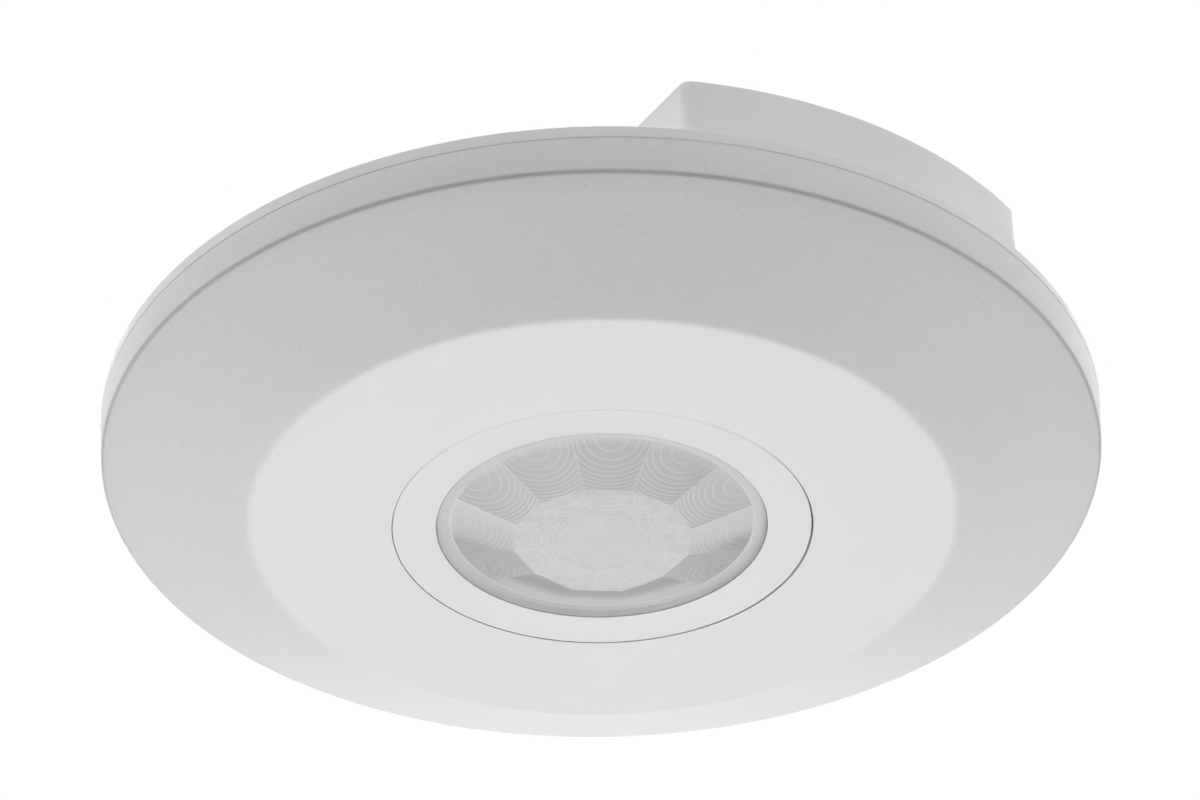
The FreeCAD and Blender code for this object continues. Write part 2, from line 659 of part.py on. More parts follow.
def control_chip():
    """Body with seven bent legs on each Y side."""
    chip_y = 15.4
    first_leg_x, leg_pitch, leg_half_w = 9.55, 1.27, 0.2
    leg_z = BOARD_FRONT_Z - 0.75
    parts = [soft_block(9.0, 17.7, chip_y - 2, chip_y + 2,
                        BOARD_FRONT_Z - 1.6, BOARD_FRONT_Z - 0.12, 0.12)]
    for i in range(7):
        x = first_leg_x + i * leg_pitch
        leg_x = (x - leg_half_w, x + leg_half_w)
        for side in (-1, 1):
            tip_y = chip_y + side * 3.2
            parts.append(block(*leg_x, chip_y + side * 1.85, tip_y, leg_z, leg_z + 0.25))
            parts.append(block(*leg_x, tip_y - side * 0.25, tip_y, leg_z, MOUNT_Z))
    return fuse_all(parts)


def case_screws():
    """From the back, through plate and board into the cover's posts."""
    return Part.makeCompound([
        cross_screw(*polar(CASE_SCREW_R, angle), head_z=BACK_Z - 0.12, head_r=2.3,
                    head_h=0.8, shaft_r=1.22, length=9.4, up=-1)
        for angle in CASE_ANGLES
    ])


# ---------------------------------------------------------------- export
# pieces built once, each named after its function
SINGLE_PIECES = (
    mounting_base, cable_grommet, terminal_block, terminal_block_screws, contact_strips,
    back_plate, front_cover, trim_ring, fresnel_lens, circuit_board, contact_blades,
    infrared_detector, detector_window, detector_legs, sensor_funnel, relay,
    suppression_capacitor, smoothing_capacitors, surge_protector, fuse_resistor,
    bridge_rectifier, control_chip, case_screws,
)

pieces = {build.__name__: build() for build in SINGLE_PIECES}
for number, x in enumerate(TERM_X, 1):
    pieces[f"terminal_screw_{number}"] = terminal_screw(x)
    pieces[f"terminal_cage_{number}"] = terminal_cage(x)
pieces["indicator_lamp"] = round_lamp(-LAMP_Y)
pieces["light_sensor"] = round_lamp(LAMP_Y)
for name, side in (("time", 1), ("light_level", -1)):
    pieces[f"{name}_potentiometer"] = potentiometer(side)
    pieces[f"{name}_adjuster"] = adjuster(side)

os.makedirs("parts", exist_ok=True)
for name, shape in pieces.items():
    shape.exportStep(f"parts/{name}.step")
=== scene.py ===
"""Ceiling infrared sensor: a round head with a faceted lens, under a long mounting base.

The axis is Z. The ceiling is the plane z = 0 and the face and lens look down (-Z).
The long sides of the base run along Y. Shapes are drawn in millimetres and scaled by MM.
"""
import math

import bpy
import bmesh
import numpy as np
from mathutils import Matrix, Vector
from mathutils.geometry import delaunay_2d_cdt


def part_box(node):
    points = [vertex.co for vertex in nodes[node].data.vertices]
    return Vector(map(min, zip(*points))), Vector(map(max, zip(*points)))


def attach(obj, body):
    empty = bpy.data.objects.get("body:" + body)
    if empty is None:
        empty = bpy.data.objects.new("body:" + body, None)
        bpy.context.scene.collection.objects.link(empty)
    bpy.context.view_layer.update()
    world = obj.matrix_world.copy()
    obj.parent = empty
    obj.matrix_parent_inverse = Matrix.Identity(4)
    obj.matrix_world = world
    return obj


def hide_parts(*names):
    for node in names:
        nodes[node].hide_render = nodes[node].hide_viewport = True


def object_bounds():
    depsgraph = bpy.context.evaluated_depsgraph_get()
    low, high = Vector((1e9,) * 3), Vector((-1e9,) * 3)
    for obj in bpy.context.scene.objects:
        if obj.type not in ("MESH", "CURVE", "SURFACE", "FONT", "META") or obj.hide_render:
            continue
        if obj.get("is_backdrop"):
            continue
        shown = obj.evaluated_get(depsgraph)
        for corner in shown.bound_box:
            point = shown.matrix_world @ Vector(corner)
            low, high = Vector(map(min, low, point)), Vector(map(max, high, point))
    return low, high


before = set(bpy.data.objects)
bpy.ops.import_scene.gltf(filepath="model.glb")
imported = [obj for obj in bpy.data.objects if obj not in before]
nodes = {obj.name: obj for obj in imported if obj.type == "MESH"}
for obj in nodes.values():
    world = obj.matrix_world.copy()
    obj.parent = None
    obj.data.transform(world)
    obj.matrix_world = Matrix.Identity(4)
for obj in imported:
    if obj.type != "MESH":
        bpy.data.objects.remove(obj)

cad_lo, cad_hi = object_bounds()
MM = 0.001


def box_mm(name):
    """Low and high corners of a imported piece, in millimetres."""
    lo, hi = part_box(name)
    return [v / MM for v in lo], [v / MM for v in hi]


# ------------------------------------------------------------ driving sizes
cover_lo, cover_hi = box_mm("front_cover")
lens_lo, lens_hi = box_mm("fresnel_lens")
Z_HEAD = cover_hi[2] + 1.4             # upper plane of the head
Z_PARTING = cover_hi[2]                # cover meets back plate
Z_FACE = cover_lo[2]                   # flat face, underneath
Z_BOARD = box_mm("circuit_board")[0][2]
Z_RING_TOP = box_mm("trim_ring")[1][2]
R_RIM = 58.97
R_CREASE, Z_CREASE = 58.72, Z_HEAD - 6.0   # fold between rim and sloping flank
R_FACE = 41.4                          # outer edge of the flat face
R_SEAM = 24.65                         # opening for the trim ring
COVER_WALL = 1.8
R_COVER_IN = 57.15
Z_FLOOR, Z_FLOOR_TOP = Z_HEAD - 11.1, Z_HEAD - 9.6     # sunken floor round the lens
R_OPENING, R_SEAT, Z_SEAT = 18.2, 20.75, Z_HEAD - 11.68
PART_DROP = 1.3                        # parting line below the top of the head
R_LENS_HOLE = 19.38
Z_LENS_TIP = lens_lo[2]
R_LENS = lens_hi[0]
TURN = -44.0                           # first facet boundary, degrees from +X
TONGUE_ANGLES = (60, 120, 240, 300)
SCREW_ANGLES = (38, 142, 218, 322)
HOOK_ANGLES = (90, 270)


# ------------------------------------------------------------ plan geometry
def polar(radius, degrees):
    angle = math.radians(degrees)
    return radius * math.cos(angle), radius * math.sin(angle)


def around(middle, half):
    return middle - half, middle + half


def lobe(x, y, peak):
    """Cosine of the angle between a point's bearing and `peak` degrees."""
    return math.cos(math.radians(math.degrees(math.atan2(y, x)) - peak))


SCREW_XY = [polar(40.0, a) for a in SCREW_ANGLES]


# ------------------------------------------------------------- mesh helpers
def raw_mesh(name, verts, faces):
    mesh = bpy.data.meshes.new(name)
    mesh.from_pydata([tuple(c * MM for c in v) for v in verts], [], faces)
    return mesh


def face_outward(mesh):
    bm = bmesh.new()
    bm.from_mesh(mesh)
    bmesh.ops.recalc_face_normals(bm, faces=bm.faces)
    bm.to_mesh(mesh)
    bm.free()


def finish_mesh(ob, sharp=30.0):
    """Outward normals, smooth shading, and edges over `sharp` degrees kept crisp."""
    face_outward(ob.data)
    ob.data.polygons.foreach_set("use_smooth", [True] * len(ob.data.polygons))
    ob.data.set_sharp_from_angle(angle=math.radians(sharp))
    ob.data.update()


def new_object(name, shape, body, replaced, sharp=30.0):
    mesh = raw_mesh(name, *shape)
    mesh.validate()
    ob = bpy.data.objects.new(name, mesh)
    bpy.context.scene.collection.objects.link(ob)
    finish_mesh(ob, sharp)
    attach(ob, body)
    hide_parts(replaced)
    return ob


def weld(ob):
    """Joins points that fall together, such as those on the axis of a turned shape."""
    bm = bmesh.new()
    bm.from_mesh(ob.data)
    bmesh.ops.remove_doubles(bm, verts=bm.verts, dist=2e-6)
    bmesh.ops.dissolve_degenerate(bm, edges=bm.edges, dist=1e-7)
    bm.to_mesh(ob.data)
    bm.free()
    finish_mesh(ob)


def combine(ob, solids, operation):
    verts, faces = [], []
    for solid_verts, solid_faces in solids:
        start = len(verts)
        verts += solid_verts
        faces += [tuple(i + start for i in face) for face in solid_faces]
    mesh = raw_mesh("tool", verts, faces)
    tool = bpy.data.objects.new("tool", mesh)
    bpy.context.scene.collection.objects.link(tool)
    face_outward(mesh)
    modifier = ob.modifiers.new("combine", "BOOLEAN")
    modifier.operation = operation
    modifier.object = tool
    modifier.solver = "EXACT"
    depsgraph = bpy.context.evaluated_depsgraph_get()
    made = bpy.data.meshes.new_from_object(ob.evaluated_get(depsgraph), depsgraph=depsgraph)
    ob.modifiers.clear()
    ob.data = made
    bpy.data.objects.remove(tool)
    finish_mesh(ob)


def join(ob, solids):
    combine(ob, solids, "UNION")


def cut(ob, solids):
    combine(ob, solids, "DIFFERENCE")


# ---------------------------------------------------------------- outlines
def rounded(corners, steps=7):
    """Closed outline from (x, y) or (x, y, corner radius) corners."""
    places = [np.array(corner[:2], float) for corner in corners]
    outline = []
    for i, corner in enumerate(corners):
        place = places[i]
        if len(corner) == 2:
            outline.append(tuple(place))
            continue
        radius = corner[2]
        to_last = places[i - 1] - place
        to_next = places[(i + 1) % len(places)] - place
        to_last /= np.linalg.norm(to_last)
        to_next /= np.linalg.norm(to_next)
        angle = math.acos(max(-1.0, min(1.0, float(to_last @ to_next))))
        tangent = radius / math.tan(angle / 2)
        bisector = (to_last + to_next) / np.linalg.norm(to_last + to_next)
        centre = place + bisector * (radius / math.sin(angle / 2))
        first = place + to_last * tangent - centre
        last = place + to_next * tangent - centre
        start = math.atan2(first[1], first[0])
        sweep = math.atan2(last[1], last[0]) - start
        sweep = (sweep + math.pi) % (2 * math.pi) - math.pi
        for k in range(steps + 1):
            a = start + sweep * k / steps
            outline.append((centre[0] + radius * math.cos(a), centre[1] + radius * math.sin(a)))
    return outline


def split_long(outline, longest):
    """Adds points along long straight runs of a closed outline."""
    result = []
    for i, point in enumerate(outline):
        start = np.array(point)
        end = np.array(outline[(i + 1) % len(outline)])
        parts = max(1, int(math.ceil(np.linalg.norm(end - start) / longest)))
        result += [tuple(start + (end - start) * j / parts) for j in range(parts)]
    return result


def bar_line(half_width, radius, corner, arc_steps=72, corner_steps=8):
    """Plan of the base: two straight sides, two arcs about the axis, round corners."""
    corner_x = half_width - corner
    corner_y = math.sqrt((radius - corner) ** 2 - corner_x ** 2)
    phi = math.atan2(corner_y, corner_x)
    quarter = []
    for k in range(corner_steps):
        a = phi * k / corner_steps
        quarter.append((corner_x + corner * math.cos(a), corner_y + corner * math.sin(a)))
    arc = []
    for k in range(arc_steps + 1):
        a = phi + (math.pi - 2 * phi) * k / arc_steps
        arc.append((radius * math.cos(a), radius * math.sin(a)))
    upper = quarter + arc + [(-x, y) for x, y in reversed(quarter)]
    return upper + [(-x, -y) for x, y in upper]


# ------------------------------------------- closed shapes, (vertices, faces)
def lathe(outline, segments):
    """A closed (r, z) outline turned about Z."""
    n = len(outline)
    verts, faces = [], []
    for s in range(segments):
        a = 2 * math.pi * s / segments
        verts += [(r * math.cos(a), r * math.sin(a), z) for r, z in outline]
        t = (s + 1) % segments
        for i in range(n):
            j = (i + 1) % n
            faces.append((s * n + i, t * n + i, t * n + j, s * n + j))
    return verts, faces


def sector(radii, angles, levels, steps=10):
    """A piece of a ring. Each span is (low, high); angles are in degrees."""
    (r0, r1), (a0, a1), (z0, z1) = radii, angles, levels
    verts, faces = [], []
    for k in range(steps + 1):
        a = a0 + (a1 - a0) * k / steps
        verts += [(*polar(r, a), z) for r, z in ((r0, z0), (r1, z0), (r1, z1), (r0, z1))]
    for k in range(steps):
        b = 4 * k
        for i in range(4):
            j = (i + 1) % 4
            faces.append((b + i, b + j, b + 4 + j, b + 4 + i))
    end = 4 * steps
    faces += [(0, 3, 2, 1), (end, end + 1, end + 2, end + 3)]
    return verts, faces


def prism(outline, levels):
    n = len(outline)
    verts = [(x, y, z) for z in levels for x, y in outline]
    faces = [tuple(range(n))[::-1], tuple(range(n, 2 * n))]
    for k in range(n):
        j = (k + 1) % n
        faces.append((k, j, n + j, n + k))
    return verts, faces


def cylinder(radius, x, y, levels, steps=48):
    angles = [2 * math.pi * k / steps for k in range(steps)]
    return prism([(x + radius * math.cos(a), y + radius * math.sin(a)) for a in angles], levels)


def stadium(radius, length, x, y, levels, steps=20):
    """Slot shape along Y, `length` from end to end."""
    reach = length / 2 - radius
    line = []
    for sign, start in ((1, 0.0), (-1, math.pi)):
        for k in range(steps + 1):
            a = start + math.pi * k / steps
            line.append((x + radius * math.cos(a), y + sign * reach + radius * math.sin(a)))
    return prism(line, levels)


def block(x_span, y_span, levels):
    (x0, x1), (y0, y1) = x_span, y_span
    return prism([(x0, y0), (x1, y0), (x1, y1), (x0, y1)], levels)


# -------------------------------------------------------------- front cover
# The inside of the flank runs parallel to the outside, one wall away.
flank_r, flank_z = R_CREASE - R_FACE, Z_CREASE - Z_FACE
flank_length = math.hypot(flank_r, flank_z)
inward_r, inward_z = -flank_z / flank_length, flank_r / flank_length
z_fold_in = Z_CREASE + COVER_WALL * inward_z
r_fold_in = R_CREASE + COVER_WALL * inward_r
z_rim_in = z_fold_in - (r_fold_in - R_COVER_IN) * flank_z / flank_r
z_face_in = Z_FACE + COVER_WALL
r_face_in = (R_FACE + COVER_WALL * inward_r
             + (z_face_in - (Z_FACE + COVER_WALL * inward_z)) * flank_r / flank_z)
R_WELL = 26.4                          # outside of the wall round the sunken floor
COVER_OUTLINE = [                      # r, z, corner radius
    (R_RIM, Z_PARTING, 0.07), (R_CREASE, Z_CREASE, 0.70), (R_FACE, Z_FACE, 2.6),
    (R_SEAM, Z_FACE, 0.05), (R_SEAM, Z_FLOOR), (R_SEAT, Z_FLOOR), (R_SEAT, Z_SEAT),
    (R_OPENING, Z_SEAT, 0.2), (R_OPENING, Z_FLOOR_TOP), (R_WELL, Z_FLOOR_TOP),
    (R_WELL, z_face_in), (r_face_in, z_face_in, 1.0), (R_COVER_IN, z_rim_in, 0.6),
    (R_COVER_IN, Z_PARTING),
]


def rim_wave(x, y):
    """The parting line runs a little out of true round the rim."""
    return 0.02 + 0.25 * lobe(x, y, -33.0) + 0.28 * lobe(x, y, 57.0)


def rim_close(x, y):
    """Rise of the cover's rim towards the back plate, a hair less on one side."""
    return 0.098 - 0.033 * max(0.0, lobe(x, y, -33.0)) ** 2


verts, faces = lathe(split_long(rounded(COVER_OUTLINE), 3.2), 480)
verts = [(x, y, z + rim_wave(x, y) + rim_close(x, y)) if z > Z_PARTING - 0.08 else (x, y, z)
         for x, y, z in verts]
cover = new_object("front_cover_shell", (verts, faces), "sensor_head",
                   "front_cover")

# holes for the adjusters and slots for the ring's tongues, through the floor
THROUGH_FLOOR = (Z_FLOOR - 0.5, Z_FLOOR_TOP + 0.5)
cuts = []
for name in ("time_adjuster", "light_level_adjuster"):
    lo, hi = box_mm(name)
    cuts.append(cylinder(2.05, (lo[0] + hi[0]) / 2, (lo[1] + hi[1]) / 2, THROUGH_FLOOR))
cuts += [sector((23.35, 24.55), around(a, 6.5), THROUGH_FLOOR) for a in TONGUE_ANGLES]
cut(cover, cuts)

# four screw posts with cross ribs stand inside the shell
POST_R, POST_BORE_R = 2.7, 1.24
RIB_REACH, RIB_HALF = 4.2, 0.6         # half length and half thickness
for angle, (x, y) in zip(SCREW_ANGLES, SCREW_XY):
    join(cover, [cylinder(POST_R, x, y, (Z_FACE + 1.0, Z_BOARD - 0.03), 40)])
    for rib_angle in (angle, angle + 90):
        c, s = polar(1.0, rib_angle)
        plan = [(x + u * RIB_REACH * c - w * RIB_HALF * s, y + u * RIB_REACH * s + w * RIB_HALF * c)
                for u, w in ((-1, -1), (1, -1), (1, 1), (-1, 1))]
        join(cover, [prism(plan, (Z_BOARD - 8.0, Z_BOARD - 2.5))])
cut(cover, [cylinder(POST_BORE_R, x, y, (Z_FACE + 3.0, Z_BOARD + 1), 24) for x, y in SCREW_XY])

# --------------------------------------------------------------- back plate
R_PLATE_STEP = 57.0                    # the lip inside the cover starts here
Z_LIP_END, Z_PLATE_UNDER = Z_HEAD - 3.4, Z_HEAD - 1.5
PLATE_OUTLINE = [                      # r, z, corner radius
    (0.0, Z_HEAD), (59.0, Z_HEAD, 0.22), (58.98, Z_HEAD - PART_DROP, 0.05),
    (R_PLATE_STEP, Z_HEAD - PART_DROP), (56.9, Z_LIP_END, 0.3), (55.3, Z_LIP_END, 0.3),
    (55.3, Z_PLATE_UNDER), (0.0, Z_PLATE_UNDER),
]


def on_parting_line(x, y, z):
    return (abs(z - Z_HEAD + PART_DROP) < 0.07
            and math.hypot(x, y) > R_PLATE_STEP - 0.05)


verts, faces = lathe(split_long(rounded(PLATE_OUTLINE), 6.0), 480)
verts = [(x, y, z + rim_wave(x, y)) if on_parting_line(x, y, z) else (x, y, z)
         for x, y, z in verts]
plate = new_object("head_back_plate", (verts, faces), "sensor_head", "back_plate")
weld(plate)

# screw bosses, then two upright hooks: wall, outward flange, small ridge on top
join(plate, [cylinder(3.3, x, y, (Z_HEAD - 1.78, Z_HEAD - 1.0)) for x, y in SCREW_XY]
     + [sector((46.9, 48.6), around(a, 6), (Z_HEAD - 0.5, Z_HEAD + 5.0), 24)
        for a in HOOK_ANGLES])
HOOK_PARTS = [                         # radii, half angle, heights above the plate, steps
    ((48.4, 53.6), 5.97, (2.0, 3.5), 24),
    ((47.0, 53.0), 0.8, (3.3, 4.8), 4),
]
for radii, half, (low, high), steps in HOOK_PARTS:
    join(plate, [sector(radii, around(a, half), (Z_HEAD + low, Z_HEAD + high), steps)
                 for a in HOOK_ANGLES])

# screw holes, three short slots in a row, and two fans of radial slots
THROUGH_PLATE = (Z_HEAD - 3, Z_HEAD + 1)
SLOT_HALF = 2.15                       # half length along the arc
cuts = [cylinder(1.35, x, y, THROUGH_PLATE, 32) for x, y in SCREW_XY]
for r in (37.6, 41.4, 45.2):
    cuts.append(sector(around(r, 0.65), around(-82, math.degrees(SLOT_HALF / r)),
                       THROUGH_PLATE, 6))
for a in (0, 180):
    cuts += [sector((30.0, 37.0), around(a + offset, 1.2), THROUGH_PLATE, 4)
             for offset in range(-24, 25, 8)]
cut(plate, cuts)
# counterbores over the screw holes
cut(plate, [cylinder(2.5, x, y, (Z_HEAD - 0.95, Z_HEAD + 1), 40) for x, y in SCREW_XY])
weld(plate)

# ------------------------------------------------------------- ceiling base
BAR_HALF, BAR_R, BAR_CORNER, BAR_WALL, BAR_EDGE_R = 22.55, 57.1, 1.6, 2.0, 0.6
Z_TOP_IN = -1.7                        # solids under the top reach up into it
# (z, inset) of each level, from the lower rim to the rounded upper edge
levels = [(Z_HEAD + 0.12, 0.04), (Z_HEAD + 0.16, 0.0), (Z_HEAD + 3.0, 0.0), (-BAR_EDGE_R, 0.0)]
for k in range(1, 7):
    a = math.pi * k / 12
    levels.append((-BAR_EDGE_R + BAR_EDGE_R * math.sin(a), BAR_EDGE_R * (1 - math.cos(a))))
verts, faces = [], []
for z, inset in levels:
    line = bar_line(BAR_HALF - inset, BAR_R - inset, BAR_CORNER - inset)
    verts += [(x, y, z) for x, y in line]
n = len(line)
for k in range(len(levels) - 1):
    for i in range(n):
        j = (i + 1) % n
        faces.append((k * n + i, k * n + j, (k + 1) * n + j, (k + 1) * n + i))
faces.append(tuple(range(n))[::-1])
faces.append(tuple(range((len(levels) - 1) * n, len(levels) * n)))
base_ob = new_object("ceiling_base", (verts, faces), "mounting_base",
                     "mounting_base")
cut(base_ob, [prism(bar_line(BAR_HALF - BAR_WALL, BAR_R - BAR_WALL, 1.0),
                    (Z_HEAD - 1.0, -BAR_WALL))])

# ribs, end ledges, collar of the round hole, and pads of the screw slots
LEDGE_RADII, Z_LEDGE = (50.2, 55.6), Z_HEAD + 0.55
HOLE_Y, SLOT_YS = 13.0, (-30.0, 30.0)
THROUGH_TOP = (-5, 1)
join(base_ob, [block(around(x, 0.6), (-33, 33), (-3.2, Z_TOP_IN)) for x in (-17.0, 17.0)]
     + [sector(LEDGE_RADII, around(a, 7), (Z_LEDGE, Z_HEAD + 1.9), 24) for a in HOOK_ANGLES]
     + [cylinder(9.4, 0, HOLE_Y, (-3.4, Z_TOP_IN), 72)]
     + [stadium(4.6, 12.6, 0, y, (-2.8, Z_TOP_IN)) for y in SLOT_YS])
# a stop at one end of each ledge, and two small blocks by the ribs
join(base_ob, [sector(LEDGE_RADII, (a + 6.9, a + 9), (Z_LEDGE, Z_TOP_IN), 6)
               for a in HOOK_ANGLES]
     + [block(around(x, 1.2), (-15.0, -7.0), (-3.4, Z_TOP_IN)) for x in (-15.6, 15.6)])
# round hole, screw slots, shallow slots from above, pilot holes, pocket at the +Y end
y_wall_in = BAR_R - BAR_WALL
cut(base_ob, [cylinder(7.0, 0, HOLE_Y, THROUGH_TOP, 72)]
    + [stadium(2.2, 9.0, 0, y, THROUGH_TOP) for y in SLOT_YS]
    + [stadium(3.2, 26.0, x, y, (-0.7, 1)) for x in (-13.0, 13.0) for y in (-34.0, 34.0)]
    + [cylinder(1.02, x, -11.0, (-4, -0.75), 24) for x in (-16.0, 16.0)]
    + [block((-5, 5), (y_wall_in - 3, y_wall_in + 1.0), (-6.2, -2.2))])
# thin groove round the pocket
cut(base_ob, [block((-5.4, 5.4), (54.0, 54.6), (-6.4, -2.1))])
weld(base_ob)

# ---------------------------------------------------------------- trim ring
R_RING_OUT = R_SEAM - 0.07
Z_RING_LIP = Z_HEAD - 12.08
Z_RING_FOOT = Z_FLOOR - 0.04
Z_RING_WEB = Z_FACE + 1.05
R_RING_INNER_WALL = 21.6
RING_OUTLINE = [                       # r, z, corner radius
    (R_RING_OUT, Z_FACE + 0.08, 0.06), (R_RING_OUT, Z_RING_FOOT),
    (R_RING_OUT - 0.9, Z_RING_FOOT), (R_RING_OUT - 0.9, Z_RING_WEB, 0.1),
    (R_RING_INNER_WALL, Z_RING_WEB, 0.1), (R_RING_INNER_WALL, Z_RING_FOOT),
    (20.85, Z_RING_FOOT), (20.85, Z_RING_LIP), (R_LENS_HOLE, Z_RING_LIP),
    (R_LENS_HOLE, Z_FACE + 0.38, 0.10),
]
SIT_X, SIT_Y = -0.0587, 0.0381         # ring and lens sit a hair off the axis


def open_gap(x, y, z):
    """The ring fills its opening except on one side, where the gap stands open."""
    if math.hypot(x, y) <= 23.3:
        return x, y, z
    gap = (0.15 * max(0.0, lobe(x, y, -22)) ** 3
           + 0.02 * max(0.0, lobe(x, y, 120)))
    return x * (1 - gap / 24.5), y * (1 - gap / 24.5), z


def sit(x, y, z):
    """Moves the zone where ring and lens meet, fading out on both sides."""
    r = math.hypot(x, y)
    t = min(1.0, max(0.0, (r - 18.3) / 0.8)) * min(1.0, max(0.0, (20.0 - r) / 0.3))
    return (x + SIT_X * t, y + SIT_Y * t, z)


verts, faces = lathe(split_long(rounded(RING_OUTLINE), 1.6), 360)
verts = [sit(*open_gap(*v)) for v in verts]
ring = new_object("lens_trim_ring", (verts, faces), "trim_ring", "trim_ring")
join(ring, [sector((23.45, 24.4), around(a, 6.0), (Z_FACE + 0.95, Z_RING_TOP))
            for a in TONGUE_ANGLES])

# --------------------------------------------------------------------- lens
# Round rim of the outer facets, then the corners of two twelve-sided steps.
R_FACETS, Z_FACETS = 17.76, Z_HEAD - 11.98
R_MIDDLE, Z_MIDDLE = 10.60, Z_HEAD - 14.27
R_INNER, Z_INNER = 5.30, Z_HEAD - 14.31
R_LENSLET = 1.83                       # round lenslet in the middle
Z_TIP = Z_LENS_TIP + 0.005
Z_FLANGE = Z_HEAD - 12.05
R_PLUG, Z_PLUG = 19.32, Z_HEAD - 12.55     # shoulder that fills the ring's hole
LENS_WALL = 0.6
APOTHEM = math.cos(math.radians(15))   # side distance over corner radius
S_MIDDLE, S_INNER = R_MIDDLE * APOTHEM, R_INNER * APOTHEM
INNER_TURN = 39                        # first boundary of the six inner facets, after TURN
# squared radius of the first groove, and its step from groove to groove
OUTER_GROOVES, MIDDLE_GROOVES = (3.6, 6.5), (4.4, 5.35)
INNER_RADII = [1.35, 2.25, 2.95]


def lens_z(x, y):
    """Height of the ungrooved lower surface of the lens."""
    r = math.hypot(x, y)
    bearing = math.degrees(math.atan2(y, x)) - TURN
    off_middle = math.radians((bearing % 30.0) - 15.0)
    s = r * math.cos(off_middle)
    if s >= S_MIDDLE:
        # ruled between the straight edge of the middle and the round rim
        edge = S_MIDDLE / math.cos(off_middle)
        return Z_MIDDLE + min(1.0, (r - edge) / (R_FACETS - edge)) * (Z_FACETS - Z_MIDDLE)
    if s >= S_INNER:
        share = (s - S_INNER) / ((R_MIDDLE - R_INNER) * APOTHEM)
        return Z_INNER + share * (Z_MIDDLE - Z_INNER)
    return Z_TIP + (Z_INNER - Z_TIP) * s / S_INNER


def on_lens(radius, degrees, z=None):
    x, y = polar(radius, degrees)
    return (x, y, lens_z(x, y) if z is None else z)


RIM_STEPS = 360


def lens_circle(radius, z=None, every=1):
    return [on_lens(radius, 360.0 * k / RIM_STEPS + TURN, z) for k in range(0, RIM_STEPS, every)]


class Sheet:
    """Points with heights and fixed edges, to be triangulated in plan."""

    def __init__(self):
        self.points, self.heights, self.edges = [], [], []

    def point(self, x, y, z):
        self.points.append(Vector((x, y)))
        self.heights.append(z)

    def line(self, line, closed=False):
        start, n = len(self.points), len(line)
        for x, y, z in line:
            self.point(x, y, z)
        self.edges += [(start + i, start + i + 1) for i in range(n - 1)]
        if closed:
            self.edges.append((start + n - 1, start))

    def triangulate(self, lift):
        """Vertices and faces. Points made by crossings lie `lift` above lens_z."""
        points, _, faces, sources, _, _ = delaunay_2d_cdt(self.points, self.edges, [], 0, 1e-5)
        verts = [(p.x, p.y, self.heights[source[0]] if source else lens_z(p.x, p.y) + lift)
                 for p, source in zip(points, sources)]
        return verts, faces


def facet_test(middle, half, s_lo=0, s_hi=99, r_lo=0, r_hi=99, gap=0.10):
    """Inside test for a facet: a sector between two straight or round edges."""
    cos_mid, sin_mid = polar(1.0, middle)
    cos_half, sin_half = polar(1.0, half)

    def inside(x, y):
        along, across = x * cos_mid + y * sin_mid, -x * sin_mid + y * cos_mid
        r = math.hypot(x, y)
        if along < s_lo + gap or along > s_hi - gap or r < r_lo + gap or r > r_hi - gap:
            return False
        return (along * sin_half - across * cos_half > gap
                and along * sin_half + across * cos_half > gap)

    return inside


def inside_runs(circle, inside, step):
    """The runs of a closed circle of (x, y) that lie inside, joined over its start."""
    run, runs = [], []
    for x, y in circle:
        if inside(x, y):
            run.append((x, y))
        elif run:
            runs.append(run)
            run = []
    if run:
        if runs and abs(math.hypot(runs[0][0][0] - run[-1][0], runs[0][0][1] - run[-1][1])) < step:
            runs[0] = run[:-1] + runs[0]
        else:
            runs.append(run)
    return [run for run in runs if len(run) > 1]


def add_grooves(sheet, centre, radii, depth, inside, step=0.28):
    """Concentric steps about `centre`, with a gentle swell between two steps."""
    cx, cy = centre[:2]
    last = 0.0
    for radius in radii:
        for r, dz in ((radius - 0.035, -depth), (radius + 0.035, 0.0 - depth * 0.05)):
            n = max(24, int(2 * math.pi * r / step))
            angles = [2 * math.pi * k / n for k in range(n + 1)]
            circle = [(cx + r * math.cos(a), cy + r * math.sin(a)) for a in angles]
            for run in inside_runs(circle, inside, step):
                sheet.line([(x, y, lens_z(x, y) + dz) for x, y in run])
        if last:
            r = (last + radius) / 2
            n = max(24, int(2 * math.pi * r / (step * 1.5)))
            for k in range(n):
                a = 2 * math.pi * k / n
                x, y = cx + r * math.cos(a), cy + r * math.sin(a)
                if inside(x, y):
                    sheet.point(x, y, lens_z(x, y) - depth * 0.62)
        last = radius


